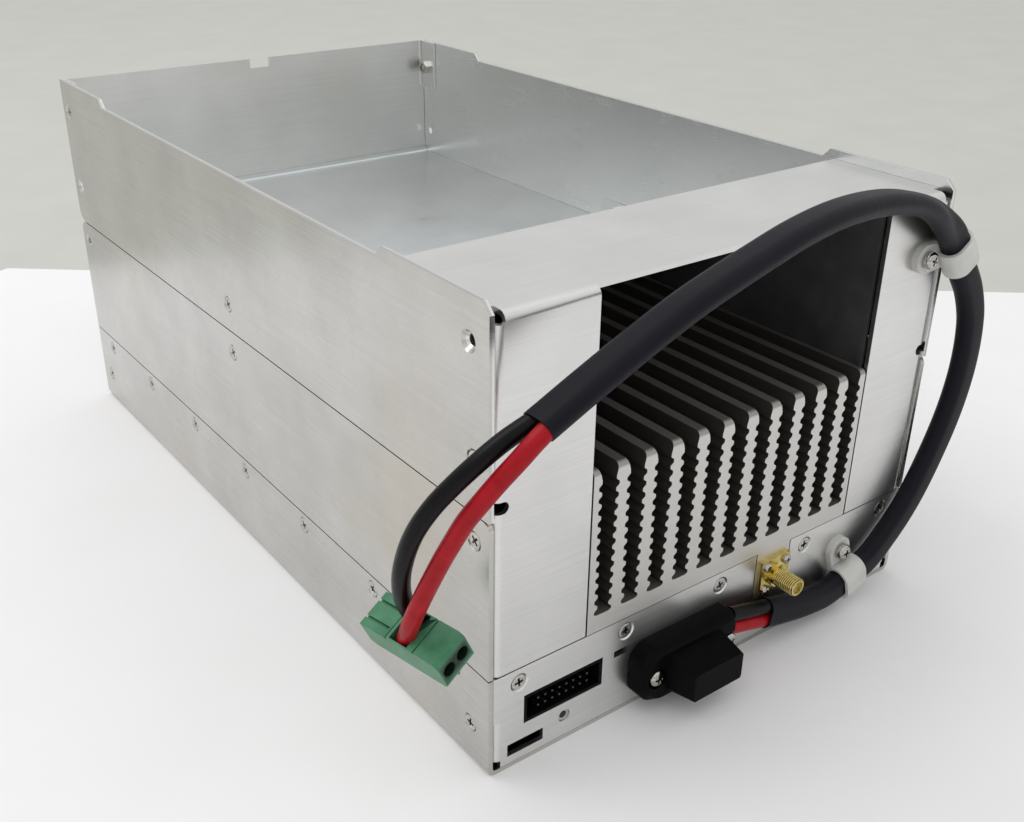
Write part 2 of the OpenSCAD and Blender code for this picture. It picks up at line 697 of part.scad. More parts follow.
module heat_sink() color("#2b2c2e") difference() {
    union() {
        translate([-fl_x, yf + sheet_t + fit_gap, slab_z])
            cube([2 * fl_x, case_d - 2 * (sheet_t + fit_gap), slab_t]);
        translate([block_x - block_w / 2, yf, low_h]) cube([block_w, case_d, fin_h]);
        translate([jack_x - jack_tab_w / 2, yf, jack_tab_z])
            cube([jack_tab_w, jack_tab_d, low_h - jack_tab_z + eps]);
    }
    for (i = [0:slot_n - 1]) translate([block_x + (i - (slot_n - 1) / 2) * slot_pitch, yr + eps, 0])
        rotate([90, 0, 0]) linear_extrude(case_d + 2 * eps) polygon(slot_outline);
    for (m = [0, 1]) mirror([0, m, 0]) along_x(block_x - block_w, 2 * block_w)
        translate([yr - fin_end_r, fin_z - fin_end_r]) corner_2d(fin_end_r);
    for (s = [-1, 1]) at_sides(s, row_sites) slab_hole();
    for (x = panel_sites) front_at(x, slab_mid_z) slab_hole();
    for (x = panel_sites) rear_at(xl + x, slab_mid_z) slab_hole();
    front_mid(jack_x, jack_z) down(jack_bore_r, jack_tab_d + eps);
    front_mid(jack_x, jack_z) at_corners(jack_hole_s) down(jack_screw_r + thread_gap, jack_hole_l);
    translate([jack_x - pocket_w / 2, yf + jack_tab_d, slab_z - eps])
        cube([pocket_w, jack_reach - jack_tab_d + eps, pocket_h + eps]);
    rear_at(out_x, out_z) at_corners(out_hole_s) down(out_screw_r + thread_gap, out_screw_l);
    for (p = board_holes) translate(p) cylinder(r = board_screw_r + thread_gap, h = board_screw_l + eps);
}
module slab_hole() down(shank_r + thread_gap, screw_l + eps);

module duct_cheek(s) color("#161617") {
    x0 = s < 0 ? block_x - block_w / 2 - block_gap / 3 - sheet_t : block_x + block_w / 2 + block_gap / 3;
    y0 = yf + bend_r + fit_gap;
    top = strip_z - sheet_t - fit_gap;
    bend_y = yf + strip_d - slope_k - fit_gap;
    along_x(x0, sheet_t) polygon([
        [y0, low_h], [y0, top], [bend_y, top],
        [floor_y0 - fit_gap, top - (floor_y0 - fit_gap - bend_y) * tan(slope_a)], [floor_y0 - fit_gap, low_h]
    ]);
}
module duct_cheek_left() duct_cheek(-1);
module duct_cheek_right() duct_cheek(1);

// Screws and the threaded insert
module zinc() color("#c9c8c2") children();
all_side_sites = concat(row_sites, low_tab_sites, plate_sites, wall_sites);
module side_screws(s) zinc() at_sides(s, all_side_sites) csk_screw(screw_l);
module side_screws_left() side_screws(-1);
module side_screws_right() side_screws(1);
// Hex nuts inside the rear wall's upper tabs and the joining plates
module tab_nuts() zinc() for (s = [-1, 1]) at_sides(s, concat([tab_site], joiner_sites))
    translate([0, 0, -2 * sheet_t - fit_gap - hex_t]) difference() {
        cylinder(r = hex_w / 2, h = hex_t, $fn = 6);
        translate([0, 0, -eps]) cylinder(r = shank_r + thread_gap, h = hex_t + 2 * eps);
    }
module front_panel_screws() zinc() for (x = panel_sites) front_at(x, slab_mid_z) csk_screw(screw_l);
module rear_panel_screws() zinc() for (x = panel_sites) rear_at(xl + x, slab_mid_z) csk_screw(screw_l);
module clinch_nut() zinc() front_at(insert_site[0], insert_site[1]) difference() {
    union() {
        translate([0, 0, -insert_sink]) down(insert_r, insert_l - insert_sink);
        translate([0, 0, -sheet_t]) down(insert_r + insert_rim, insert_l - sheet_t);
    }
    translate([0, 0, eps]) down(insert_bore_r, insert_l + 2 * eps);
}

// Control header
module header_shroud() color("#141416") front_at(header_x, header_z) difference() {
    translate([-header_w / 2, -header_h / 2, -header_d]) cube([header_w, header_h, header_d]);
    translate([-header_w / 2 + header_wall, -header_h / 2 + header_wall, -header_d + header_floor])
        cube([header_w - 2 * header_wall, header_h - 2 * header_wall, header_d]);
    pin_sites() translate([0, 0, -header_d]) cube([pin_w, pin_w, 3 * header_d], center = true);
}
module header_pins() color("#c9b46a") front_at(header_x, header_z) pin_sites()
    translate([-pin_w / 2, -pin_w / 2, -header_d - pin_tail])
        cube([pin_w, pin_w, header_d + pin_tail - pin_tip]);
module pin_sites() for (i = [0:pin_n - 1]) for (r = [-0.5, 0.5])
    translate([(i - (pin_n - 1) / 2) * pin_pitch, r * pin_pitch, 0]) children();

// RF input jack
module sma_body() color("#c9a545") front_mid(jack_x, jack_z) difference() {
    union() {
        translate([-jack_flange / 2, -jack_flange / 2, 0]) cube([jack_flange, jack_flange, jack_flange_t]);
        cylinder(r = jack_r + jack_collar, h = jack_flange_t + jack_collar_l);
        cylinder(r = jack_r, h = jack_flange_t + jack_l);
    }
    translate([0, 0, -eps]) cylinder(r = jack_ins_r, h = jack_flange_t + jack_l + 2 * eps);
    at_corners(jack_hole_s) translate([0, 0, jack_flange_t]) sheet_hole(jack_screw_r + thread_gap);
}
module sma_insulator() color("#e8e6dc") front_mid(jack_x, jack_z) difference() {
    translate([0, 0, -jack_tab_d])
        cylinder(r = jack_ins_r, h = jack_tab_d + jack_flange_t + jack_l - jack_mouth);
    translate([0, 0, -jack_reach]) cylinder(r = jack_pin_r, h = 2 * jack_reach);
}
module sma_contact() color("#c9a545") front_mid(jack_x, jack_z) translate([0, 0, -jack_reach])
    cylinder(r = jack_pin_r, h = jack_reach + jack_flange_t + jack_l - jack_pin_end);
module sma_screws() zinc() front_mid(jack_x, jack_z) at_corners(jack_hole_s)
    translate([0, 0, jack_flange_t]) {
        cylinder(r = jack_head_r, h = jack_head_h);
        down(jack_screw_r, jack_flange_t + jack_screw_l);
    }

// Power plug: a moulded hood with its wires leaving at the right, screwed through the panel
module power_socket() color("#1c1c1e") front_mid(hood_x, hood_z) translate([0, 0, -sheet_t]) difference() {
    translate([-socket_w / 2, -socket_h / 2, -socket_d]) cube([socket_w, socket_h, socket_d]);
    translate([-nose_w / 2 - fit_gap, -nose_h / 2 - fit_gap, -nose_l])
        cube([nose_w + 2 * fit_gap, nose_h + 2 * fit_gap, nose_l + eps]);
    for (x = hood_sides) translate([x, 0, eps]) down(hood_screw_r + thread_gap, hood_screw_l + 2 * eps);
}
module hood_2d(inset) {
    h = hood_h / 2 - inset;
    for (b = [-1, 1]) translate([-hood_left + inset + hood_round, b * (h - hood_round)])
        circle(hood_round, $fn = 32);
    for (b = [-1, 1]) translate([hood_right - inset - hood_corner, b * (h - hood_corner)])
        circle(hood_corner, $fn = 32);
}
module rounded_block(size, r, z) linear_extrude(z) for (a = [-1, 1]) for (b = [-1, 1])
    translate([a * (size[0] / 2 - r), b * (size[1] / 2 - r)]) circle(r, $fn = 16);
module plug_hood() color("#161618") front_mid(hood_x, hood_z) difference() {
    union() {
        hull() {
            linear_extrude(hood_d - hood_bevel_d) hood_2d(0);
            linear_extrude(hood_d) hood_2d(hood_bevel_w);
        }
        hull() {
            rounded_block(block_foot, hood_corner, hood_d);
            rounded_block(block_face, hood_corner / 2, block_reach);
        }
        translate([-nose_w / 2, -nose_h / 2, -sheet_t - nose_l + nose_lap])
            cube([nose_w, nose_h, nose_l + sheet_t]);
    }
    for (x = hood_sides) translate([x, 0, hood_seat]) cylinder(r = hood_head_room, h = block_reach);
    translate([hood_sides[1], -hood_head_room, hood_seat]) cube([hood_w, 2 * hood_head_room, block_reach]);
    for (x = hood_sides) translate([x, 0, hood_seat + eps]) down(hood_screw_r + thread_gap, block_reach);
}
module hood_screws() zinc() for (x = hood_sides) front_mid(hood_x + x, hood_z) translate([0, 0, hood_seat]) {
    rotate_extrude() pan_head_2d(hood_head_r, hood_head_h);
    down(hood_screw_r, hood_seat + sheet_t + hood_screw_l);
}
// Half of a domed screw head
module pan_head_2d(r, h) intersection() {
    dome_r = (r * r + h * h) / (2 * h) * 1.05;
    translate([0, h - dome_r]) circle(dome_r);
    square([r, h]);
}

// Cable: frames along the route, a flat outline that turns on its way, and round wires
function unit(v) = v / norm(v);
function lift(z) = (strip_z - route_z) * max(0, min(1, (z - lift_from) / (lift_to - lift_from)));
function to_part(p) = [(p[0] - route_w / 2) * case_w / route_w, yf + p[1], p[2] + lift(p[2])];
module on_panel(p) translate(to_part([p[0], 0, p[1]])) rotate([90, 0, 0]) children();
function tangent(p, i) = unit(p[min(i + 1, len(p) - 1)] - p[max(i - 1, 0)]);
function across(t) = unit([0, 1, 0] - t[1] * t);
function ramp(i) = 90 * max(0, min(1, (i - twist_from) / (twist_to - twist_from)));
function stadium(k, sides) = let (a = 360 * (k + 0.5) / sides)
    [sign(cos(a)) * (sleeve_w - sleeve_h) / 2 + sleeve_h / 2 * cos(a), sleeve_h / 2 * sin(a)];
function disc(k, sides) = let (a = 360 * k / sides) wire_d / 2 * [cos(a), sin(a)];
function ring(p, i, outline, turn) = let (
        t = tangent(p, i), y = across(t), x = cross(y, t),
        u = x * cos(turn) + y * sin(turn), v = y * cos(turn) - x * sin(turn)
    ) [for (q = outline) p[i] + q[0] * u + q[1] * v];
function loft_faces(n, m) = concat(
    [[for (k = [0:m - 1]) k]], [[for (k = [m - 1:-1:0]) (n - 1) * m + k]],
    [for (i = [0:n - 2]) for (k = [0:m - 1]) let (a = i * m + k, b = i * m + (k + 1) % m)
        each [[a, b + m, b], [a, a + m, b + m]]]);
module swept(rings) polyhedron([for (r = rings) each r], loft_faces(len(rings), len(rings[0])));
module cable_sleeve() color("#17171c") {
    p = [for (q = sleeve_route) to_part(q)];
    outline = [for (k = [0:sleeve_sides - 1]) stadium(k, sleeve_sides)];
    swept([for (i = [0:len(p) - 1]) ring(p, i, outline, ramp(i))]);
}
module wire(p) {
    outline = [for (k = [0:wire_sides - 1]) disc(k, wire_sides)];
    swept([for (i = [0:len(p) - 1]) ring(p, i, outline, 0)]);
}
sleeve_mouth = to_part(sleeve_route[0]);
function root_route(side) = let (dz = side * (wire_d / 2 + wire_gap)) [
    [hood_x + hood_right, yf - wire_exit, sleeve_mouth[2] + root_rise + dz],
    sleeve_mouth + [eps, 0, dz]
];
module root_wire_black() color("#1b1b1f") wire(root_route(1));
module root_wire_red() color("#b01a28") wire(root_route(-1));
module tail_wire_black() color("#1b1b1f") wire(concat([for (q = black_route) to_part(q)], [pole_end(1)]));
module tail_wire_red() color("#b01a28") wire(concat([for (q = red_route) to_part(q)], [pole_end(-1)]));

// Nylon clips: a loop round a straight stretch of the sleeve and a tab under a screw
module clip_loop(i, screw) {
    a = to_part(sleeve_route[i]);
    b = to_part(sleeve_route[i + 1]);
    m = (a + b) / 2;
    dir = unit(b - a);
    turn = atan2(dir[2], dir[0]);
    half = sleeve_w / 2 - sleeve_h / 2;
    inner = sleeve_h / 2 + clip_gap;
    difference() {
        union() {
            translate(m) rotate([0, -turn, 0]) rotate([0, 90, 0]) translate([0, 0, -clip_w / 2])
                linear_extrude(clip_w) clip_outline(half, inner + clip_t - fit_gap);
            translate([0, yf, 0]) rotate([90, 0, 0]) linear_extrude(2 * clip_t)
                clip_tab(m, dir, to_part([screw[0], 0, screw[1]]));
        }
        translate(m) rotate([0, -turn, 0]) rotate([0, 90, 0]) translate([0, 0, -clip_w])
            linear_extrude(2 * clip_w) clip_outline(half, inner);
        on_panel(screw) cylinder(r = shank_r + thread_gap, h = 8 * clip_t, center = true);
    }
}
module clip_outline(half, r) {
    square([2 * half, 2 * r], center = true);
    for (s = [-1, 1]) translate([s * half, 0]) circle(r);
}
// The tab in the panel's plane, from inside the loop to a round end under the screw
module clip_tab(m, dir, screw) {
    w = [dir[0], dir[2]] * clip_root;
    c = [m[0], m[2]];
    end = [screw[0], screw[2]];
    hull() {
        polygon([c + w, c - w, end]);
        translate(end) circle(clip_w / 2, $fn = 32);
    }
}
module lower_clip() color("#dedfd8") clip_loop(lower_clip_i, lower_clip_screw);
module upper_clip() color("#dedfd8") clip_loop(upper_clip_i, upper_clip_screw);
module at_clip_screws() for (p = [lower_clip_screw, upper_clip_screw]) on_panel(p)
    translate([0, 0, 2 * clip_t]) children();
module clip_screws() zinc() at_clip_screws() translate([0, 0, washer_t]) {
    rotate_extrude() pan_head_2d(clip_head_r, clip_head_h);
    down(shank_r, washer_t + 2 * clip_t + sheet_t + clip_screw_tail);
}
module clip_washers() zinc() at_clip_screws() difference() {
    cylinder(r = washer_r, h = washer_t);
    translate([0, 0, -eps]) cylinder(r = shank_r + thread_gap, h = washer_t + 2 * eps);
}

// Terminal plug: Y runs from the screw end to the mating end, wires enter from above
function rolled(v) = [
    v[0] * cos(plug_roll) + v[2] * sin(plug_roll), v[1], v[2] * cos(plug_roll) - v[0] * sin(plug_roll)
];
function yawed(v) = [
    v[0] * cos(plug_yaw) - v[1] * sin(plug_yaw), v[0] * sin(plug_yaw) + v[1] * cos(plug_yaw), v[2]
];
function pole_end(s) = to_part(plug_place) + yawed(rolled([s * pole_pitch / 2, ferrule_y, wire_end_z]));
module at_plug() translate(to_part(plug_place)) rotate([0, plug_roll, plug_yaw]) children();
module at_pole(s) at_plug() translate([s * pole_pitch / 2, 0, 0]) children();
module lying(y, r, l) translate([0, y, 0]) rotate([-90, 0, 0]) cylinder(r = r, h = l);
module box(x, y0, y1, z0, z1) translate([-x / 2, y0, z0]) cube([x, y1 - y0, z1 - z0]);
module plug_pole_space() {
    lying(-eps, driver_r, bore_l + eps);
    lying(0, clamp_r + clamp_fit, cage_y + eps);
    box(cavity_w, bore_l + seat_t, cavity_end, cage_z0 - cage_play, cage_z1 + cage_play);
    box(wire_d + 2 * wire_gap, ferrule_y - funnel_l / 2, ferrule_y + funnel_l / 2, cage_z1, plug_h);
    box(tongue_w + 2 * fit_gap, tongue_y - cage_gap / 2, plug_l - channel_end, bar_z0 - fit_gap, cage_z0);
    box(mate_slot[0], plug_l - mate_slot[1], plug_l + eps, bar_z0 - fit_gap, bar_z0 + mate_slot[2]);
}
module terminal_plug() color("#3f8f63") at_plug() difference() {
    translate([-plug_w / 2, 0, 0]) rotate([90, 0, 90]) linear_extrude(plug_w) plug_side_2d();
    for (s = [-1, 1]) translate([s * pole_pitch / 2, 0, 0]) plug_pole_space();
    nose_top = plug_h / 2 - nose_drop;
    for (s = [-1, 1]) translate([s * plug_w / 4, 0, 0])
        box(rib_w, nose_y + rib_start, plug_l + eps, nose_top - rib_d, plug_h);
    box(plug_w + eps, nose_y - groove_w, nose_y, nose_top, plug_h);
    box(plug_w + eps, bore_l, bore_l + seam_w, plug_h / 2 - seam_w, plug_h);
}
// The plug seen from its side: a bevelled screw end, the wire deck and a lower nose
module plug_side_2d() {
    top = plug_h / 2;
    polygon([
        [0, -top + plug_bevel], [plug_bevel, -top], [plug_l - plug_toe, -top],
        [plug_l, -top + plug_toe / 2], [plug_l, top - nose_drop],
        [nose_y, top - nose_drop + nose_slope], [nose_y - groove_w, top],
        [plug_bevel, top], [0, top - plug_bevel]
    ]);
}
module terminal_contacts() color("#b9a56a") for (s = [-1, 1]) at_pole(s) {
    box(tongue_w, tongue_y, tongue_y + tongue_t, bar_z0, cage_z1 - cage_play);
    box(tongue_w, tongue_y, plug_l - mate_slot[1] - fit_gap, bar_z0, bar_z0 + bar_t);
    box(mate_slot[0] - 2 * fit_gap, tongue_y, plug_l - mate_end, bar_z0, bar_z0 + bar_t);
}
module wire_ferrules() color("#c08a5a") for (s = [-1, 1]) at_pole(s) translate([0, ferrule_y, ferrule_z0])
    cylinder(r = ferrule_r, h = wire_end_z - ferrule_z0);
module clamp_screw(s) zinc() at_pole(s) difference() {
    union() {
        lying(clamp_head_y, clamp_head_r, clamp_head_l);
        lying(clamp_head_y + clamp_head_l - eps, clamp_r, clamp_end - clamp_head_y - clamp_head_l + eps);
    }
    box(clamp_slot_w, 0, clamp_head_y + clamp_slot_d, -driver_r, driver_r);
}
module clamp_screw_black() clamp_screw(1);
module clamp_screw_red() clamp_screw(-1);
module clamp_cage(s) zinc() at_pole(s) difference() {
    box(cage_w, cage_y, cage_y + cage_l, cage_z0, cage_z1);
    inner_w = cage_w - 2 * cage_side;
    box(inner_w, cage_y + cage_wall, cage_y + cage_l - cage_wall, cage_z0 - eps, cage_z1 + eps);
    lying(cage_y - eps, clamp_r + clamp_fit, cage_wall + 2 * eps);
}
module clamp_cage_black() clamp_cage(1);
module clamp_cage_red() clamp_cage(-1);

// The amplifier under the slab
function device_site(i) = [(i - (device_n - 1) / 2) * device_pitch, device_y, slab_z];
board_rows = concat([yf + board_end + board_edge], board_mid_rows, [yr - board_end - board_edge]);
board_holes = [for (s = [-1, 1]) for (y = board_rows) [s * (board_x - board_edge), y, slab_z]];
module rf_board() color("#2f5d3a") difference() {
    translate([-board_x, yf + board_end, slab_z - board_t])
        cube([2 * board_x, case_d - 2 * board_end, board_t]);
    for (i = [0:device_n - 1]) translate(device_site(i))
        sheet_window(device_w + 2 * device_play, device_d + 2 * device_play);
    translate([out_x, isolator_y, slab_z])
        sheet_window(isolator_s + 2 * device_play, isolator_s + 2 * device_play);
    for (p = board_holes) translate(p) sheet_hole(board_screw_r + thread_gap);
}
module board_screws() zinc() for (p = board_holes) translate(p) translate([0, 0, -board_t]) {
    down(board_head_r, board_head_h);
    cylinder(r = board_screw_r, h = board_t + board_screw_l);
}
module power_transistors() color("#d8cfae") for (i = [0:device_n - 1]) translate(device_site(i)) {
    translate([-device_w / 2, -device_d / 2, -device_flange_t]) cube([device_w, device_d, device_flange_t]);
    translate([-device_w / 2 + device_lid_inset, -device_lid_d / 2, -device_flange_t - device_lid_t])
        cube([device_w - 2 * device_lid_inset, device_lid_d, device_lid_t]);
}
module isolator() color("#a9adb0") translate([out_x, isolator_y, slab_z - isolator_t]) {
    translate([-isolator_s / 2, -isolator_s / 2, 0]) cube([isolator_s, isolator_s, isolator_t]);
    down(isolator_lid_r, isolator_lid_t);
}
module supply_capacitors() color("#2a3550") for (i = [0:cap_n - 1])
    translate([(i - (cap_n - 1) / 2) * cap_pitch, cap_y, slab_z - board_t]) down(cap_r, cap_h);

// RF output on the rear panel
module output_jack() color("#c4c4bd") rear_at(out_x, out_z) difference() {
    union() {
        translate([-out_flange / 2, -out_flange / 2, 0]) cube([out_flange, out_flange, out_flange_t]);
        cylinder(r = out_r, h = out_flange_t + out_l);
        down(out_body_r, out_body_l);
    }
    translate([0, 0, -out_body_l - eps])
        cylinder(r = out_ins_r, h = out_body_l + out_flange_t + out_l + 2 * eps);
    at_corners(out_hole_s) translate([0, 0, out_flange_t / 2]) sheet_hole(out_screw_r + thread_gap);
}
module output_insulator() color("#ecebe4") rear_at(out_x, out_z) difference() {
    translate([0, 0, -out_body_l])
        cylinder(r = out_ins_r, h = out_body_l + out_flange_t + out_l - out_mouth);
    translate([0, 0, -out_body_l - eps]) cylinder(r = out_pin_r, h = 2 * (out_body_l + out_l));
}
module output_contact() color("#c9a545") {
    back = out_body_l + strap_l;
    top = slab_z - board_t;
    rear_at(out_x, out_z) translate([0, 0, -back])
        cylinder(r = out_pin_r, h = back + out_flange_t + out_l - out_pin_end);
    translate([out_x - out_pin_r, yr - back - strap_t, out_z - out_pin_r])
        cube([2 * out_pin_r, 2 * strap_t, top - out_z + out_pin_r]);
    strap_end = board_end + contact_lap;
    translate([out_x - out_pin_r, yr - strap_end, top - strap_t])
        cube([2 * out_pin_r, strap_end - back, strap_t]);
}
module output_screws() zinc() rear_at(out_x, out_z) at_corners(out_hole_s) translate([0, 0, out_flange_t]) {
    rotate_extrude() pan_head_2d(out_head_r, out_head_h);
    down(out_screw_r, out_screw_l);
}

bottom_cover();
front_lower_panel();
rear_lower_panel();
side_plate_left();
side_plate_right();
tray_wall_left();
tray_wall_right();
front_cover();
rear_cover();
tray_floor();
seam_joiner_left();
seam_joiner_right();
heat_sink();
duct_cheek_left();
duct_cheek_right();
side_screws_left();
side_screws_right();
tab_nuts();
front_panel_screws();
rear_panel_screws();
clinch_nut();
header_shroud();
header_pins();
sma_body();
sma_insulator();
sma_contact();
sma_screws();
power_socket();
plug_hood();
hood_screws();
lower_clip();
upper_clip();
clip_screws();
clip_washers();
root_wire_black();
root_wire_red();
cable_sleeve();
tail_wire_black();
tail_wire_red();
terminal_plug();
terminal_contacts();
wire_ferrules();
clamp_screw_black();
clamp_screw_red();
clamp_cage_black();
clamp_cage_red();
rf_board();
board_screws();
power_transistors();
isolator();
supply_capacitors();
output_jack();
output_insulator();
output_contact();
output_screws();
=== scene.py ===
# %% [markdown]
# # A radio-frequency power amplifier in a folded aluminium case
# The object is a module for a rack: a case of bent aluminium sheet with an open tray on top,
# a finned heat sink that looks out of the front, and a power lead that climbs over the front.
# The solid pieces come from the CAD model as a fixed frame. This lesson dresses them: it sets the
# camera, sweeps the lead, cuts crosses into the screws and gives each piece its finish.

# %% Load the frame
import json
import math

import bmesh
import bpy
from mathutils import Matrix, Vector


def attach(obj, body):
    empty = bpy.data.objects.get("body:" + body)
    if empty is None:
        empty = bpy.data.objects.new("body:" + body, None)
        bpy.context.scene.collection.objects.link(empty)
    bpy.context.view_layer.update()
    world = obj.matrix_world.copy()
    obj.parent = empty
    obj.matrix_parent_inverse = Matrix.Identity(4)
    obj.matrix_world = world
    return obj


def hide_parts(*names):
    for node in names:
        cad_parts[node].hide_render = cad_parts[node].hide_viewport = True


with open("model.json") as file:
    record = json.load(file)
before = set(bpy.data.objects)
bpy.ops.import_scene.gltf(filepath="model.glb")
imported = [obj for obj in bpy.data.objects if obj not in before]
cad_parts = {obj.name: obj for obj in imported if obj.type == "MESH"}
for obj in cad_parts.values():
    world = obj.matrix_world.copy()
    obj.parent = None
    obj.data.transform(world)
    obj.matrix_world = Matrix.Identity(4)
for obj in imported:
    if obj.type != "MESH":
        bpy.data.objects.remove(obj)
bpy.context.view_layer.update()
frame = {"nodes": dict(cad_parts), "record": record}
scene = bpy.context.scene
scene.view_settings.view_transform = "Standard"

# %% [markdown]
# ## Measuring in the maker's way
# The drawing gives places from the left side, the front face and the bottom of the case, in
# millimetres. One small function turns such a place into the frame's metres, so that the numbers
# below can be checked against the drawing.

# %% Places
CASE_W, CASE_D = 176.0, 300.0
# Centres that several steps use, from the left and the bottom
JACK_X, JACK_Z = 111.5, 24.455
OUTPUT_X, OUTPUT_Z = 88, 16.9
PLUG_X, PLUG_Z = 71, 13.2
CLIP_SITES = ((143.3, 21.6), (163.5, 120))


def at(x, y, z):
    """A place from the case's left, front and bottom in mm, as a point of the frame in m."""
    return Vector(((x - CASE_W / 2) / 1000, (y - CASE_D / 2) / 1000, z / 1000))


print("front left foot:", tuple(at(0, 0, 0)))

# %% [markdown]
# ## The camera
# The photograph was taken from the front left, a little above the case and quite close, so the
# lines run together. The camera's place, direction and lens were solved from the case's corners.
# A matrix with the right, up and backward directions as columns places it exactly.

# %% Camera
FOCAL_PX, PHOTO_W, SENSOR = 1173.87, 1024, 36.0
right = Vector((0.8023, -0.5970, 0.0110))
up = Vector((0.2630, 0.3697, 0.8913))
forward = Vector((0.5361, 0.7120, -0.4535))
camera = bpy.data.objects.new("camera", bpy.data.cameras.new("camera"))
camera.data.sensor_width = SENSOR
camera.data.lens = FOCAL_PX / PHOTO_W * SENSOR
camera.matrix_world = Matrix.Translation(at(-143.63, -199.64, 240.35)) @ Matrix(
    (right, up, -forward)).transposed().to_4x4()
scene.collection.objects.link(camera)
scene.camera = camera
print("lens:", round(camera.data.lens, 2), "mm")

# %% [markdown]
# ## Small tools
# A colour is written as it looks on the screen, and the shader wants it as an amount of light,
# so one function turns a hex value to linear. Another adds a node with its settings and links:
# with it, a material or a geometry tree reads as a list.

# %% Tools for nodes


def ink(code):
    """An sRGB hex colour as linear red, green, blue and alpha."""
    parts = [int(code[i:i + 2], 16) / 255 for i in (1, 3, 5)]
    return tuple(p / 12.92 if p <= 0.04045 else ((p + 0.055) / 1.055) ** 2.4 for p in parts) + (1.0,)


def add(tree, kind, wires=None, **settings):
    """A new node: settings are its own, wires are values or sockets for its inputs."""
    node = tree.nodes.new(kind)
    for name, value in settings.items():
        setattr(node, name, value)
    for name, value in (wires or {}).items():
        if isinstance(value, bpy.types.NodeSocket):
            tree.links.new(value, node.inputs[name])
        else:
            node.inputs[name].default_value = value
    return node


def finish_of(name):
    """An empty material, its tree, its shader and its Object coordinates in metres."""
    material = bpy.data.materials.new(name)
    material.use_nodes = True
    tree = material.node_tree
    place = add(tree, "ShaderNodeTexCoord").outputs["Object"]
    return material, tree, tree.nodes["Principled BSDF"], place


print("white is", ink("#ffffff"))

# %% [markdown]
# Most finishes are built from the same few steps: noise with marks of a known size, a colour that
# runs between two tones, a number that runs between two limits, and a relief. Each is one function
# here, so that a finish below is a short list of what can be seen on the real material.

# %% Steps of a finish


def noise(tree, place, size_mm, detail, **more):
    """Noise with marks of about this size."""
    wires = {"Vector": place, "Scale": 1000 / size_mm, "Detail": detail, **more}
    return add(tree, "ShaderNodeTexNoise", wires).outputs["Fac"]


def stretched(tree, place, per_metre, detail):
    """Noise with its own number of marks in a metre along X, Y and Z."""
    longer = add(tree, "ShaderNodeMapping", {"Vector": place, "Scale": per_metre})
    return noise(tree, longer.outputs[0], 1000, detail)


def blend(tree, share, dark, light, low=0.0, high=1.0):
    """A colour that goes from one hex value to another while share goes from low to high."""
    ramp = add(tree, "ShaderNodeValToRGB", {"Fac": share})
    for stop, position, code in zip(ramp.color_ramp.elements, (low, high), (dark, light)):
        stop.position, stop.color = position, ink(code)
    return ramp.outputs["Color"]


def spread(tree, value, low, high, start=0.0, end=1.0):
    """A number that goes from low to high while value goes from start to end."""
    wires = {"Value": value, "From Min": start, "From Max": end, "To Min": low, "To Max": high}
    return add(tree, "ShaderNodeMapRange", wires).outputs["Result"]


def mixed(tree, share, a, b):
    """A number between two others."""
    return add(tree, "ShaderNodeMix", {0: share, 2: a, 3: b}).outputs[0]


def tint(tree, share, under, over):
    """A colour between two others."""
    return add(tree, "ShaderNodeMix", {0: share, 6: under, 7: over}, data_type="RGBA").outputs[2]


def relief(tree, height, strength, depth_mm):
    """A bump as the shader's normal."""
    wires = {"Height": height, "Strength": strength, "Distance": depth_mm / 1000}
    return add(tree, "ShaderNodeBump", wires).outputs["Normal"]


def attribute(tree, name):
    """A number that the mesh stores on its points."""
    return add(tree, "ShaderNodeAttribute", attribute_name=name).outputs["Fac"]


def feed(tree, shader, sockets):
    """Links sockets to the shader's inputs of these names."""
    for name, socket in sockets.items():
        tree.links.new(socket, shader.inputs[name])


print("steps of a finish:", [f.__name__ for f in (noise, stretched, blend, spread, mixed, tint, relief)])

# %% [markdown]
# ## The lead
# Two thick wires leave the power plug at the front, run in one flat black shrink sleeve that two
# nylon clips hold, arch over the top strip and come out again as a black and a red tail with a
# green terminal plug. A curve with a bevel would give round tubes, but the sleeve is flat and turns
# over on its way. So a Geometry Nodes tree sweeps a flat outline along the route, and a vector
# stored on each point of the route says which way the broad side lies.

# %% Routes of the lead
SLEEVE = [at(*p) for p in (
    (105, -4.6, 13.7), (112, -4.6, 12), (126, -4.6, 9.4), (139, -4.6, 9.4), (153, -4.6, 13.4),
    (164, -4.6, 21), (174, -4.6, 32), (182, -4.6, 46), (188.5, -4.6, 62), (191.5, -4.6, 78),
    (190.5, -4.6, 94), (186, -4.6, 105.5), (179, -4.6, 115.5), (173, -4.6, 124.5), (165, -5.4, 131.5),
    (154, -6.8, 138.3), (140.5, -8.5, 143.3), (123, -11, 147), (102.5, -14, 148.6), (84, -16.5, 147.6),
    (66, -18.5, 144.5), (54.5, -19.5, 142), (43, -20, 138.8), (29.5, -20, 133.5), (13.5, -20, 126.5),
    (-1, -20, 119.8))]
BLACK_TAIL = [at(*p) for p in (
    (5, -17.5, 122.6), (0, -17.5, 120.3), (-7, -15.6, 116.3), (-12.6, -13.8, 112), (-17.2, -11, 106.6),
    (-21.2, -7.5, 100), (-24, -4, 92.3), (-24.9, -0.4, 83.2), (-24, 3, 74), (-21.6, 5.4, 66),
    (-17.68, 5.66, 57.87))]
RED_TAIL = [at(*p) for p in (
    (5, -22.5, 122.6), (0.2, -22.5, 120.4), (-3.6, -22.2, 117.7), (-7, -21.1, 113.9), (-10.4, -18.8, 108.8),
    (-13.4, -16, 103), (-15.9, -13.1, 97.2), (-17.8, -10.5, 91), (-19.5, -7.9, 84.6), (-20.9, -5.3, 78),
    (-22.1, -2.6, 71.2), (-22.9, 0.6, 63.5), (-22.14, 4.72, 55.64))]
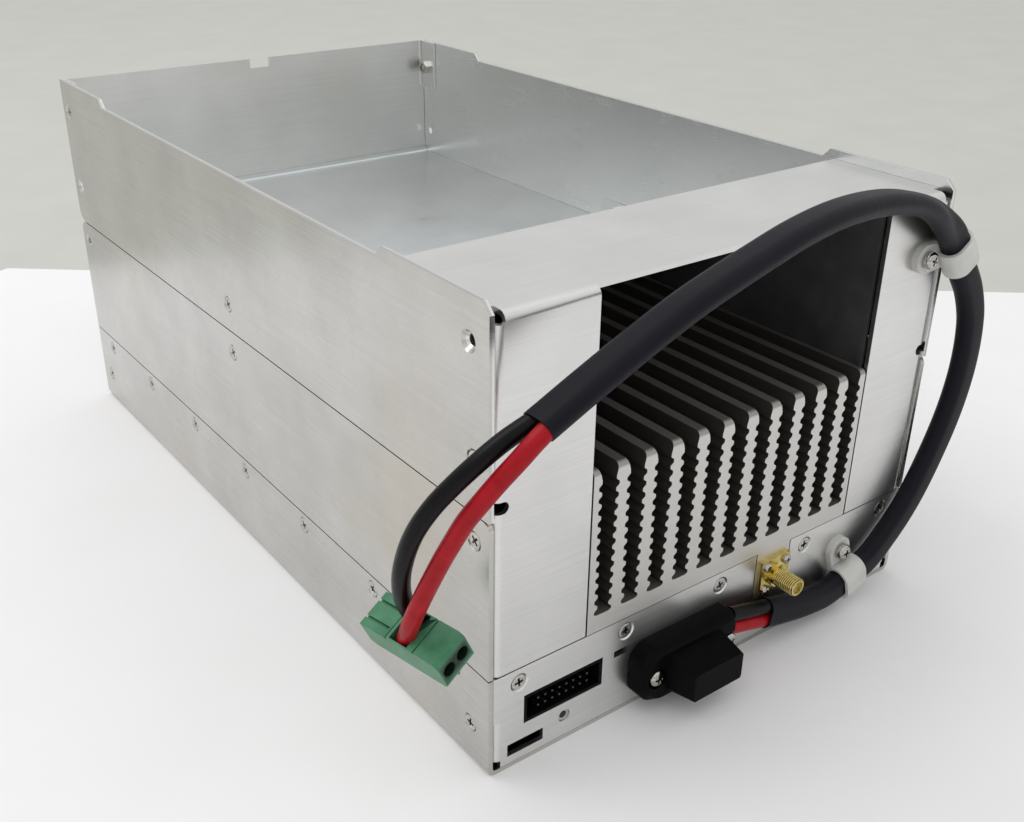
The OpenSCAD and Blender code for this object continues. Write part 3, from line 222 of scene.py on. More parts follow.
# Points of the sleeve after which it runs straight through a clip, and between which it turns over
CLIPPED = (3, 12)
TURN_FROM, TURN_TO = 13, 16


def smooth_route(points, straight=(), steps=8):
    """Points of one smooth curve through a route, with each point's index along it."""
    ways = [(points[min(i + 1, len(points) - 1)] - points[max(i - 1, 0)]).normalized()
            for i in range(len(points))]
    for i in straight:
        ways[i] = ways[i + 1] = (points[i + 1] - points[i]).normalized()
    line = [(points[0], 0.0)]
    for i in range(len(points) - 1):
        a, b = points[i], points[i + 1]
        reach = (b - a).length
        for k in range(1, steps + 1):
            t = k / steps
            line.append((a * (2 * t**3 - 3 * t**2 + 1) + ways[i] * reach * (t**3 - 2 * t**2 + t)
                         + b * (3 * t**2 - 2 * t**3) + ways[i + 1] * reach * (t**3 - t**2), i + t))
    return line


def length_of(line):
    return sum((line[i + 1][0] - line[i][0]).length for i in range(len(line) - 1))


sleeve_line = smooth_route(SLEEVE, CLIPPED)
black_line, red_line = smooth_route(BLACK_TAIL), smooth_route(RED_TAIL)
lengths = [round(length_of(line) * 1000) for line in (sleeve_line, black_line, red_line)]
print("sleeve, black and red tail:", lengths, "mm")

# %% [markdown]
# A Geometry Nodes tree has named inputs like a function. One helper makes an empty tree with such
# inputs, and another runs a tree on a mesh and keeps the result as a plain mesh, because the
# export keeps no live instances.

# %% Helpers for geometry trees


def geometry_tree(name, **sockets):
    """An empty tree with a geometry in, a geometry out and the inputs given as socket kinds."""
    tree = bpy.data.node_groups.new(name, "GeometryNodeTree")
    tree.interface.new_socket("Geometry", in_out="INPUT", socket_type="NodeSocketGeometry")
    tree.interface.new_socket("Geometry", in_out="OUTPUT", socket_type="NodeSocketGeometry")
    for title, kind in sockets.items():
        tree.interface.new_socket(title, in_out="INPUT", socket_type="NodeSocket" + kind)
    return tree, tree.nodes.new("NodeGroupInput").outputs


def close_tree(tree, geometry, material):
    """Ends a tree in Realize Instances and Set Material."""
    real = add(tree, "GeometryNodeRealizeInstances", {"Geometry": geometry})
    dressed = add(tree, "GeometryNodeSetMaterial", {"Geometry": real.outputs[0], "Material": material})
    add(tree, "NodeGroupOutput", {0: dressed.outputs[0]})


def keep(piece, modifier):
    """Makes what a modifier gives the piece's plain mesh, and removes the modifier."""
    depsgraph = bpy.context.evaluated_depsgraph_get()
    made = bpy.data.meshes.new_from_object(piece.evaluated_get(depsgraph), depsgraph=depsgraph)
    piece.modifiers.remove(modifier)
    piece.data = made


def grown(name, mesh, tree, **values):
    """A new piece: the tree run on a mesh with these inputs, as a plain mesh."""
    piece = bpy.data.objects.new(name, mesh)
    scene.collection.objects.link(piece)
    run = piece.modifiers.new("run", "NODES")
    run.node_group = tree
    for item in tree.interface.items_tree:
        if item.in_out == "INPUT" and item.name in values:
            run[item.identifier] = values[item.name]
    keep(piece, run)
    return piece


def mesh_of(points, edges=(), faces=(), name="points"):
    mesh = bpy.data.meshes.new(name)
    mesh.from_pydata([tuple(p) for p in points], list(edges), list(faces))
    return mesh


def smoothed(mesh, sharp_angle):
    """Smooth shading, with edges above this angle kept sharp."""
    mesh.shade_smooth()
    mesh.set_sharp_from_angle(angle=math.radians(sharp_angle))


def seat(piece, slot, *nodes, body="chassis"):
    """Lets a piece ride and hides the CAD nodes that it stands for; slot is not used."""
    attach(piece, body)
    if nodes:
        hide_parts(*nodes)
    print(piece.name, len(piece.data.polygons), "faces")
    return piece


print("tree helpers:", [f.__name__ for f in (geometry_tree, close_tree, keep, grown, seat)])

# %% [markdown]
# The sweep itself: the route's edges become a curve, the stored vector becomes the curve's normal,
# and a rectangle with rounded corners runs along it. With equal sides the rectangle is a circle,
# so the same tree makes the round wires. The length along the lead is stored for the finishes.

# %% Tree that sweeps a lead
# The corner's radius as a share of the thickness: a full half would put two points in one place
ALMOST_HALF = 0.4999
sweep, given = geometry_tree("lead_sweep", Width="Float", Thickness="Float", Finish="Material")
rail = add(sweep, "GeometryNodeMeshToCurve", {"Mesh": given["Geometry"]})
broad = add(sweep, "GeometryNodeInputNamedAttribute", {"Name": "broad_way"}, data_type="FLOAT_VECTOR")
laid = add(sweep, "GeometryNodeSetCurveNormal",
           {"Curve": rail.outputs[0], "Normal": broad.outputs["Attribute"]}, mode="FREE")
run_length = add(sweep, "GeometryNodeSplineParameter")
marked = add(sweep, "GeometryNodeStoreNamedAttribute",
             {"Geometry": laid.outputs[0], "Name": "along", "Value": run_length.outputs["Length"]},
             data_type="FLOAT", domain="POINT")
half = add(sweep, "ShaderNodeMath", {0: given["Thickness"], 1: ALMOST_HALF}, operation="MULTIPLY")
flat = add(sweep, "GeometryNodeCurvePrimitiveQuadrilateral",
           {"Width": given["Width"], "Height": given["Thickness"]}, mode="RECTANGLE")
soft = add(sweep, "GeometryNodeFilletCurve",
           {"Curve": flat.outputs[0], "Count": 7, "Radius": half.outputs[0], "Limit Radius": True},
           mode="POLY")
tube = add(sweep, "GeometryNodeCurveToMesh",
           {"Curve": marked.outputs[0], "Profile Curve": soft.outputs[0], "Fill Caps": True})
close_tree(sweep, tube.outputs[0], given["Finish"])
print("sweep tree:", len(sweep.nodes), "nodes")

# %% [markdown]
# ## Finishes of the lead
# The sleeve is heat-shrunk polyolefin: dull black with a blue cast, and a soft sheen along its
# upper side. Shrinking leaves faint ripples along it. The wires are extruded PVC, smoother and
# glossier. All three read the stored length, so that their marks follow the bends.

# %% Shrink sleeve and wire insulation


def ripples(tree, size_mm, detail):
    """Marks along a lead: noise on the length that the sweep stored."""
    wires = {"W": attribute(tree, "along"), "Scale": 1000 / size_mm, "Detail": detail}
    return add(tree, "ShaderNodeTexNoise", wires, noise_dimensions="1D").outputs["Fac"]


sleeving, tree, shader, place = finish_of("shrunk_polyolefin_sleeve")
# Dust in clouds of about 20 mm, and ripples of about 2.5 mm, as shrinking over a bend leaves them
dust = noise(tree, place, 20, 5.0)
shader.inputs["Specular IOR Level"].default_value = 0.18
feed(tree, shader, {"Base Color": blend(tree, dust, "#06060d", "#0d0c19"),
                    "Roughness": spread(tree, dust, 0.4, 0.55),
                    "Normal": relief(tree, ripples(tree, 2.5, 3.0), 0.25, 0.2)})


def pvc(name, dark, light):
    """Extruded PVC: an even colour with faint flow marks along the wire and a soft gloss."""
    material, tree, shader, place = finish_of(name)
    # Flow marks every 6 mm or so, and grime in spots of about 4 mm
    grime_and_shade = noise(tree, place, 4, 4.0)
    marks = mixed(tree, 0.5, ripples(tree, 6, 2.0), grime_and_shade)
    shader.inputs["Specular IOR Level"].default_value = 0.16
    feed(tree, shader, {"Base Color": blend(tree, marks, dark, light, 0.3, 0.7),
                        "Roughness": spread(tree, grime_and_shade, 0.22, 0.42)})
    return material


black_pvc = pvc("extruded_pvc_black", "#040405", "#09090b")
red_pvc = pvc("extruded_pvc_red", "#8d0c17", "#ab1520")
print("lead finishes:", sleeving.name, black_pvc.name, red_pvc.name)

# %% [markdown]
# The sleeve's ends are open: the two wires go in with a little dark gap round them. The flat cap
# that the sweep leaves is set in by the sleeve's wall and pushed inwards, which makes the mouth.

# %% Sweep the sleeve and the wires
WIRE, SLEEVE_W, SLEEVE_H = 0.0048, 0.0102, 0.0064
SLEEVE_WALL, MOUTH_DEPTH = 0.0005, 0.004
# A face with more points than this is one of a tube's end caps
CAP_POINTS = 8
ROOT = ((88.4, 17.95), (97, 15.75), (105, 13.7), (110.5, 12.36))
ROOT_Y, ROOT_ASIDE = -4.6, 2.45


def swept(name, line, width, thickness, finish, turn=lambda i: 0.0):
    """A lead along a line of points, its broad side turned from the panel's plane by turn(index)."""
    points = [p for p, _ in line]
    ways = []
    for i, (_, index) in enumerate(line):
        t = (points[min(i + 1, len(points) - 1)] - points[max(i - 1, 0)]).normalized()
        y = (Vector((0, 1, 0)) - t * t.y).normalized()
        x = y.cross(t)
        ways.extend(x * math.cos(turn(index)) + y * math.sin(turn(index)))
    mesh = mesh_of(points, [(i, i + 1) for i in range(len(points) - 1)])
    mesh.attributes.new("broad_way", "FLOAT_VECTOR", "POINT").data.foreach_set("vector", ways)
    piece = grown(name, mesh, sweep, Width=width, Thickness=thickness, Finish=finish)
    smoothed(piece.data, 50)
    return piece


def open_mouths(piece, wall, depth):
    """Sets the flat end caps in by the wall and pushes them inwards."""
    work = bmesh.new()
    work.from_mesh(piece.data)
    for cap in [f for f in work.faces if len(f.verts) > CAP_POINTS]:
        inwards = -cap.normal * depth
        bmesh.ops.inset_individual(work, faces=[cap], thickness=wall)
        pushed = bmesh.ops.extrude_discrete_faces(work, faces=[cap])["faces"][0]
        bmesh.ops.translate(work, verts=pushed.verts, vec=inwards)
    work.to_mesh(piece.data)
    work.free()


def sleeve_turn(index):
    share = min(1.0, max(0.0, (index - TURN_FROM) / (TURN_TO - TURN_FROM)))
    return math.pi / 2 * share * share * (3 - 2 * share)


sleeve = swept("shrink_sleeve", sleeve_line, SLEEVE_W, SLEEVE_H, sleeving, sleeve_turn)
open_mouths(sleeve, SLEEVE_WALL, MOUTH_DEPTH)
tail_black = swept("black_tail", black_line, WIRE, WIRE, black_pvc)
tail_red = swept("red_tail", red_line, WIRE, WIRE, red_pvc)
roots = [swept(name, smooth_route([at(x, ROOT_Y, z + aside) for x, z in ROOT]), WIRE, WIRE, finish)
         for name, aside, finish in (("black_root", ROOT_ASIDE, black_pvc),
                                     ("red_root", -ROOT_ASIDE, red_pvc))]
seat(sleeve, "black_sleeving", "cable_sleeve")
seat(tail_black, "black_pvc", "tail_wire_black")
seat(tail_red, "red_pvc", "tail_wire_red")
seat(roots[0], "black_pvc", "root_wire_black")
seat(roots[1], "red_pvc", "root_wire_red")

# %% [markdown]
# ## Sheet metal
# The case is mill-finish aluminium, as it comes from the rolling mill: pale grey, with fine
# streaks in the rolling direction, cloudy patches where hands and cleaners have been, and soft
# warm stains. One uniform grey metal would look like plastic paint, so the colour and the roughness
# both follow these marks. The finish is a function, because each sheet has its own direction.

# %% Mill-finish aluminium
INNER_FACE = 0.0872
STAIN = "#c4b8a2"


def mill_aluminium(name, streak, pale, dull, rough, stain, hair=0.06, inside=None):
    """Rolled sheet: streak is a rolling mark's size along X, Y and Z in mm, hair its relief.

    stain says how strong the stains are, and inside gives the paler tones that are painted on the inner side
    as painted light.
    """
    material, tree, shader, place = finish_of(name)
    shader.inputs["Metallic"].default_value = 1.0
    # Rolling streaks: a third of a millimetre wide, drawn coarse enough to show
    streaks = stretched(tree, place, [1000 / s for s in streak], 3.0)
    # Cloudy patches of about 30 mm and finger marks of about 9 mm
    cloud = noise(tree, place, 30, 5.0, Roughness=0.55)
    smear = noise(tree, place, 9, 3.0, Distortion=0.8)
    marks = mixed(tree, 0.45, cloud, streaks)
    # Soft warm stains of about 70 mm, left by a cleaner
    where = spread(tree, noise(tree, place, 70, 2.0, Roughness=0.6), 0.0, stain, 0.48, 0.72)
    colour = tint(tree, where, blend(tree, marks, dull, pale, 0.36, 0.64), ink(STAIN))
    if inside:
        # The side that faces the tray is painted paler and without stains, as painted light
        across = add(tree, "ShaderNodeSeparateXYZ", {0: place}).outputs["X"]
        aside = add(tree, "ShaderNodeMath", {0: across}, operation="ABSOLUTE")
        lit_inner_side = add(tree, "ShaderNodeMath", {0: aside.outputs[0], 1: INNER_FACE}, operation="LESS_THAN")
        colour = tint(tree, lit_inner_side.outputs[0], colour, blend(tree, marks, *inside))
    worn = mixed(tree, 0.5, smear, streaks)
    feed(tree, shader, {"Base Color": colour, "Roughness": spread(tree, worn, *rough, 0.3, 0.7),
                        "Normal": relief(tree, streaks, hair, 0.03)})
    return material


LENGTHWISE, CROSSWISE = (0.35, 45, 0.35), (45, 0.35, 0.35)
side_sheet = mill_aluminium("mill_finish_aluminium_rolled_lengthwise", LENGTHWISE, "#cdcdca", "#bcbbb8",
                            (0.18, 0.3), 0.42, 0.12)
wall_sheet = mill_aluminium("mill_finish_aluminium_painted_light_inside", LENGTHWISE, "#cdcdca", "#bdbcb9",
                            (0.18, 0.3), 0.25, 0.12, ("#d9dad9", "#e5e6e5"))
cover_sheet = mill_aluminium("mill_finish_aluminium_rolled_crosswise", CROSSWISE, "#e4e4e2", "#d8d8d6",
                             (0.28, 0.35), 0.12, 0.03)
# The tray's floor and joiners are painted paler than the outer sheet, as painted light inside the tray
tray_sheet = mill_aluminium("mill_finish_aluminium_painted_light_tray", LENGTHWISE, "#e1e4e5", "#d7dadb",
                            (0.27, 0.36), 0.04, 0.03)
print("sheet finishes:", [m.name for m in (side_sheet, wall_sheet, cover_sheet, tray_sheet)])

# %% [markdown]
# ## Heat sink
# The sink is an extrusion: it was black anodised as a long bar, then sawn to length and its fin
# ends were rounded. So its flanks are brownish black, and each end face is bare, bright metal with
# saw marks. One material does both: it looks at which way the surface faces, since every sawn
# surface faces along the case.

# %% Anodised extrusion with bare sawn ends
sink_finish, tree, shader, place = finish_of("black_anodised_aluminium_sawn_ends")
facing = add(tree, "ShaderNodeSeparateXYZ", {0: add(tree, "ShaderNodeNewGeometry").outputs["Normal"]})
lengthwise = add(tree, "ShaderNodeMath", {0: facing.outputs["Y"]}, operation="ABSOLUTE").outputs[0]
bare = spread(tree, lengthwise, 0.0, 1.0, 0.12, 0.4)
# Die lines of the extrusion, half a millimetre apart, and the saw's marks across the ends
die_lines = stretched(tree, place, (2000, 15, 2000), 2.0)
saw_marks = stretched(tree, place, (60, 60, 2500), 3.0)
# Upward faces are painted lighter, as dust and as painted light on the fins' tops, and the rounded ends were
# filed by hand, so they are duller than the sawn face
level = spread(tree, facing.outputs["Z"], 0.0, 0.4, 0.6, 1.0)
dust_and_lit_tops = tint(tree, level, blend(tree, die_lines, "#2a2725", "#403b38"), ink("#84807b"))
square = spread(tree, lengthwise, 0.0, 1.0, 0.93, 1.0)
ends = tint(tree, square, ink("#a3a19c"), blend(tree, saw_marks, "#c6c5c1", "#dedcd8"))
grain = mixed(tree, bare, die_lines, saw_marks)
feed(tree, shader, {"Base Color": tint(tree, bare, dust_and_lit_tops, ends), "Metallic": bare,
                    "Roughness": spread(tree, grain, 0.32, 0.55), "Normal": relief(tree, grain, 0.3, 0.05)})
print("sink finish:", sink_finish.name)

# %% [markdown]
# ## Small metals and mouldings
# The screws are zinc plated, the jack is gold plated, the plastics are moulded. A plated metal
# differs from its neighbour in colour and in how rough its plating is. A moulding has the mould's
# fine texture, drawn as a bump. Two functions make them from a few numbers each. Both are painted
# dark, as shade with some grime, where a piece stores that it is deep, such as in a screw's cross.

# %% Plated metals and moulded plastics
# Painted shade, with some grime, for deep places: one tone for the metals, one for the green plug
SHADE_AND_GRIME, GREEN_SHADE_AND_GRIME = "#161513", "#12261b"


def plated(name, dark, light, rough, grain_mm):
    """A plated metal: two close tones in a fine grain, and a roughness that follows it."""
    material, tree, shader, place = finish_of(name)
    shader.inputs["Metallic"].default_value = 1.0
    grain = noise(tree, place, grain_mm, 3.0)
    tone = blend(tree, grain, dark, light, 0.35, 0.65)
    feed(tree, shader, {"Base Color": tint(tree, attribute(tree, "recess"), tone, ink(SHADE_AND_GRIME)),
                        "Roughness": spread(tree, grain, *rough)})
    return material


def moulded(name, dark, light, rough, grain_mm, relief_mm=0.02, glow=0.0, shine=0.5, clear=0.0):
    """A moulded plastic: the mould's texture as a bump; glow and clear say how light goes in and through."""
    material, tree, shader, place = finish_of(name)
    shader.inputs["Specular IOR Level"].default_value = shine
    shader.inputs["Transmission Weight"].default_value = clear
    shader.inputs["Subsurface Weight"].default_value = glow
    shader.inputs["Subsurface Radius"].default_value = (0.0015, 0.0014, 0.0012)
    shader.inputs["Subsurface Scale"].default_value = 1.0
    # The plastic's own cloudiness, in spots of about 6 mm
    haze = noise(tree, place, 6, 3.0)
    tone = blend(tree, haze, dark, light, 0.3, 0.7)
    feed(tree, shader, {"Base Color": tint(tree, attribute(tree, "recess"), tone, ink(GREEN_SHADE_AND_GRIME)),
                        "Roughness": spread(tree, haze, *rough),
                        "Normal": relief(tree, noise(tree, place, grain_mm, 4.0), 0.4, relief_mm)})
    return material


bright_zinc = plated("bright_zinc_plated_steel", "#a5a49f", "#c6c4be", (0.08, 0.16), 0.6)
zinc = plated("zinc_plated_steel", "#b5b4ad", "#d5d3cb", (0.2, 0.38), 0.6)
gold = plated("gold_plated_brass", "#c8b266", "#e0cd8a", (0.14, 0.24), 2.5)
nickel = plated("nickel_plated_brass", "#b7b5ad", "#cfcdc4", (0.15, 0.3), 0.6)
tin = plated("tinned_brass", "#bdbab0", "#dbd9d2", (0.2, 0.4), 0.4)
# The header pins' tin is painted dark, as the shade of the shroud over them
shaded_tin = plated("tinned_brass_painted_shade", "#4c4a44", "#605e57", (0.3, 0.5), 0.4)
black_nylon = moulded("glass_filled_nylon_black", "#050506", "#0a0a0c", (0.42, 0.6), 0.25, shine=0.06)
clear_nylon = moulded("natural_nylon_moulded", "#e2e2dc", "#f1f0eb", (0.3, 0.42), 0.4, 0.01, 0.35, clear=0.35)
green_nylon = moulded("green_polyamide_moulded", "#397453", "#528a6a", (0.38, 0.52), 0.3, shine=0.3)
ptfe = moulded("ptfe_turned", "#e6e4dc", "#f2f1eb", (0.4, 0.55), 0.3, 0.01, 0.3)
ceramic = moulded("alumina_ceramic_fired", "#d8d0bb", "#e8e2d2", (0.45, 0.6), 0.2)
board = moulded("glass_epoxy_laminate_green", "#1d4a2b", "#2c6239", (0.3, 0.42), 0.5)
film = moulded("shrink_film_blue", "#1d2a4c", "#2b3b66", (0.25, 0.4), 0.8)
duct_paint = moulded("black_paint_on_sheet", "#39383a", "#464547", (0.5, 0.68), 0.3)
print("finishes so far:", len(bpy.data.materials))

# %% [markdown]
# ## Dress the CAD pieces
# Each CAD node whose shape is right stays, and only its material slot is filled.

# %% Finishes for the CAD nodes
WEARS = {
    side_sheet: "bottom_cover side_plate_left side_plate_right",
    wall_sheet: "tray_wall_left tray_wall_right",
    cover_sheet: "front_cover front_lower_panel rear_lower_panel rear_cover",
    tray_sheet: "tray_floor seam_joiner_left seam_joiner_right",
    sink_finish: "heat_sink",
    duct_paint: "duct_cheek_left duct_cheek_right",
    zinc: "side_screws_left side_screws_right front_panel_screws rear_panel_screws tab_nuts clinch_nut"
          " sma_screws hood_screws clip_screws clip_washers board_screws output_screws clamp_screw_black"
          " clamp_screw_red clamp_cage_black clamp_cage_red isolator",
    gold: "sma_body sma_contact output_contact",
    nickel: "output_jack",
    tin: "terminal_contacts wire_ferrules",
    shaded_tin: "header_pins",
    ptfe: "sma_insulator output_insulator",
    ceramic: "power_transistors",
    black_nylon: "header_shroud power_socket plug_hood",
    clear_nylon: "lower_clip upper_clip",
    green_nylon: "terminal_plug",
    board: "rf_board",
    film: "supply_capacitors",
    sleeving: "cable_sleeve",
    black_pvc: "root_wire_black tail_wire_black",
    red_pvc: "root_wire_red tail_wire_red",
}
for material, names in WEARS.items():
    for name in names.split():
        frame["nodes"][name].data.materials.clear()
        frame["nodes"][name].data.materials.append(material)
bare_nodes = set(frame["nodes"]) - {n for names in WEARS.values() for n in names.split()}
print("nodes without a finish:", sorted(bare_nodes))

# %% [markdown]
# ## Screws
# About fifty small screws hold the case, and their crosses are what makes them read as screws. The
# CAD screws have plain heads. One head with its cross recess is modelled in mesh code, and a
# Geometry Nodes tree puts a copy on each site, pointing out of its face and turned by a seeded
# random angle, as screws end up when they are driven.

# %% Loops of points
HEAD_POINTS, NUT_POINTS = 28, 24


def new_work():
    """An empty mesh in the making, whose points can say how dark they are painted, as shade and grime."""
    work = bmesh.new()
    work.verts.layers.float.new("recess")
    return work


def loop_of(work, points, grime_and_shade):
    """A loop of new points, given in mm, with the same painted shade and grime on all of them."""
    recess = work.verts.layers.float["recess"]
    loop = [work.verts.new([c / 1000 for c in p]) for p in points]
    for vert in loop:
        vert[recess] = grime_and_shade
    return loop


def join(work, loops):
    """Faces from each loop to the next."""
    for low, high in zip(loops, loops[1:]):
        for k in range(len(low)):
            n = (k + 1) % len(low)
            work.faces.new((low[k], low[n], high[n], high[k]))


def made_of(work, name, sharp_angle):
    """An object from the finished work."""
    mesh = bpy.data.meshes.new(name)
    work.to_mesh(mesh)
    work.free()
    smoothed(mesh, sharp_angle)
    return bpy.data.objects.new(name, mesh)


def turned(radii, heights):
    """Points round Z at these radii and heights."""
    step = math.tau / len(radii)
    return [(r * math.cos(step * k), r * math.sin(step * k), z)
            for k, (r, z) in enumerate(zip(radii, heights))]


print("points round a head and a nut:", HEAD_POINTS, NUT_POINTS)

# %% One cross-head screw


def cross_head(name, rim, cross, shank):
    """A screw along Z: shank and rim are its profile in mm, with painted shade and grime where a third number
    says.

    cross gives the recess's reach, its half width and its depth.
    """
    work = new_work()
    rings = [loop_of(work, turned([r] * HEAD_POINTS, [z] * HEAD_POINTS), grime_and_shade[0] if grime_and_shade else 0.0)
             for r, z, *grime_and_shade in shank + rim]
    join(work, rings)
    work.faces.new(list(reversed(rings[0])))
    # The cross: four arms, narrower and shorter at the bottom, painted dark there as shade, with some grease
    # and dust.
    # Each loop has its share of the full size, its height and its painted shade and grime.
    reach, wide, deep = cross
    top = rim[-1][1]
    mouths = []
    for share, z, grime_and_shade in ((1.0, top, 0.0), (0.95, top - 0.15, 0.6), (0.6, top - deep, 0.85)):
        a, b = reach * share, wide * share
        corners = [(a, b), (b, b), (b, a)]
        for _ in range(3):
            corners += [(-y, x) for x, y in corners[-3:]]
        mouths.append(loop_of(work, [(x, y, z) for x, y in corners], grime_and_shade))
    join(work, mouths)
    work.faces.new(mouths[-1])
    edges = [work.edges.get((loop[k], loop[(k + 1) % len(loop)]))
             for loop in (rings[-1], mouths[0]) for k in range(len(loop))]
    bmesh.ops.triangle_fill(work, edges=edges, use_beauty=True)
    bmesh.ops.recalc_face_normals(work, faces=work.faces)
    return made_of(work, name, 35)


# A thread's tip and root as shares of its radius, and where root and crest lie in each turn
TIP, ROOT_SHARE, ROOT_AT, CREST_AT = 0.7, 0.84, 0.15, 0.6


def threaded(r, z0, z1, pitch):
    """Rings of a thread as a profile, from the tip up."""
    count = int((z1 - z0) / pitch)
    rings = [(r * TIP, z0)]
    for k in range(count):
        rings += [(r * ROOT_SHARE, z0 + pitch * (k + ROOT_AT)), (r, z0 + pitch * (k + CREST_AT))]
    return rings + [(r * ROOT_SHARE, z1)]


# The flush screw's outer rim is painted dark, as the shade in the gap round its head
flush_screw = cross_head(
    "flush_screw", [(1.5, -1.45), (2.58, -0.4, 1.0), (2.5, -0.34, 1.0), (2.42, -0.24, 0.25), (2.3, -0.2)],
    (1.5, 0.36, 1.3), threaded(1.5, -5.2, -1.6, 0.5))
pan_screw = cross_head("pan_screw", [(2.8, 0.0), (2.8, 0.75), (2.62, 1.3), (2.2, 1.75), (1.75, 2.0)],
                       (1.45, 0.36, 1.3), threaded(1.5, -7, 0, 0.5))
hood_screw = cross_head("hood_screw", [(2.7, 0.0), (2.7, 0.7), (2.5, 1.25), (2.1, 1.65), (1.65, 1.9)],
                        (1.4, 0.35, 1.2), threaded(1.3, -8, 0, 0.45))
plug_screw = cross_head("plug_screw", [(2.7, 0.0), (2.7, 2.4), (2.55, 2.95), (2.15, 3.35), (1.65, 3.6)],
                        (1.4, 0.35, 1.2), threaded(1.3, -8, 0, 0.45))
jack_screw = cross_head("jack_screw", [(1.6, 0.0), (1.6, 0.5), (1.48, 0.85), (1.2, 1.08), (0.95, 1.2)],
                        (0.85, 0.22, 0.7), threaded(0.9, -5, 0, 0.4))
all_screws = (flush_screw, pan_screw, hood_screw, plug_screw, jack_screw)
print("screw faces:", [len(s.data.polygons) for s in all_screws])

# %% One hexagon nut
# How far the turned corners fall for each mm outwards: a cone of 30 degrees
CHAMFER = 0.577


def hex_nut(name, flats, thick, bore):
    """A nut along Z: six flats whose corners a cone has turned off, and a bore painted dark as shade; sizes
    in mm.
    """
    work = new_work()
    angles = [math.tau * k / NUT_POINTS for k in range(NUT_POINTS)]
    hexagon = [flats / 2 / math.cos((a + math.pi / 6) % (math.pi / 3) - math.pi / 6) for a in angles]
    shoulder = [thick - (r - flats / 2) * CHAMFER - 0.02 for r in hexagon]
    rings = [loop_of(work, turned(hexagon, heights), 0.0) for heights in ([0] * NUT_POINTS, shoulder)]
    for r, z, grime_and_shade in ((flats / 2 * 0.98, thick, 0.0), (bore * 1.12, thick, 0.3),
                        (bore * 0.9, thick - 0.25, 1.0), (bore * 0.9, 0.3, 1.0)):
        rings.append(loop_of(work, turned([r] * NUT_POINTS, [z] * NUT_POINTS), grime_and_shade))
    join(work, rings)
    work.faces.new(list(reversed(rings[0])))
    work.faces.new(rings[-1])
    return made_of(work, name, 28)


plain_nut = hex_nut("plain_nut", 5.5, 2.4, 1.5)
print("nut faces:", len(plain_nut.data.polygons))

# %% Tree that sets screws on their sites
rows, given = geometry_tree("screw_rows", Screw="Object", Seed="Int", Finish="Material")
outward = add(rows, "GeometryNodeInputNamedAttribute", {"Name": "outward"}, data_type="FLOAT_VECTOR")
aimed = add(rows, "FunctionNodeAlignRotationToVector", {"Vector": outward.outputs["Attribute"]}, axis="Z")
angle = add(rows, "FunctionNodeRandomValue", {2: 0.0, 3: math.tau, "Seed": given["Seed"]}, data_type="FLOAT")
spin = add(rows, "FunctionNodeAxisAngleToRotation", {"Axis": (0, 0, 1), "Angle": angle.outputs[1]})
driven = add(rows, "FunctionNodeRotateRotation", {"Rotation": aimed.outputs[0], "Rotate By": spin.outputs[0]},
             rotation_space="LOCAL")
copy = add(rows, "GeometryNodeObjectInfo", {"Object": given["Screw"]}, transform_space="ORIGINAL")
placed = add(rows, "GeometryNodeInstanceOnPoints",
             {"Points": given["Geometry"], "Instance": copy.outputs["Geometry"],
              "Rotation": driven.outputs[0]})
close_tree(rows, placed.outputs[0], given["Finish"])


def screws(name, node, screw, sites, outward, seed, finish=zinc, slot="zinc_plated_steel"):
    """The tree's screws on these sites, for one CAD node.

    outward is one way for all sites, or several ways that the sites take in turn.
    """
    mesh = mesh_of(sites)
    ways = list(outward) * (3 * len(sites) // len(outward))
    mesh.attributes.new("outward", "FLOAT_VECTOR", "POINT").data.foreach_set("vector", ways)
    return seat(grown(name, mesh, rows, Screw=screw, Seed=seed, Finish=finish), slot, node)


print("screw tree:", len(rows.nodes), "nodes")

# %% Screws of the case
SIDE_SITES = ([(16.5 + 44.5 * i, 28.8) for i in range(7)] + [(9, 13.6), (291, 13.6)]
              + [(y, 75.3) for y in (6.5, 150, 293.5)] + [(6.5, 99), (150, 93), (293.5, 130)])
PANEL_SITES = [(10.4 + 38.8 * i, 28.8) for i in range(5)]
NUT_SITES = [at(x, y, z) for y, z in ((293.5, 130), (150, 75.3), (150, 93)) for x in (3.1, 172.9)]
LEFT, RIGHT, FRONT, REAR = (-1, 0, 0), (1, 0, 0), (0, -1, 0), (0, 1, 0)
screws("left_case_screws", "side_screws_left", flush_screw, [at(0, y, z) for y, z in SIDE_SITES], LEFT, 3)
screws("right_case_screws", "side_screws_right", flush_screw,
       [at(CASE_W, y, z) for y, z in SIDE_SITES], RIGHT, 4)
screws("front_case_screws", "front_panel_screws", flush_screw,
       [at(x, 0, z) for x, z in PANEL_SITES], FRONT, 5)
screws("rear_case_screws", "rear_panel_screws", flush_screw,
       [at(x, CASE_D, z) for x, z in PANEL_SITES], REAR, 6)
screws("sheet_nuts", "tab_nuts", plain_nut, NUT_SITES, RIGHT + LEFT, 11, bright_zinc)

# %% Screws of the connectors and clips
SIGNS = [(a, b) for a in (-1, 1) for b in (-1, 1)]
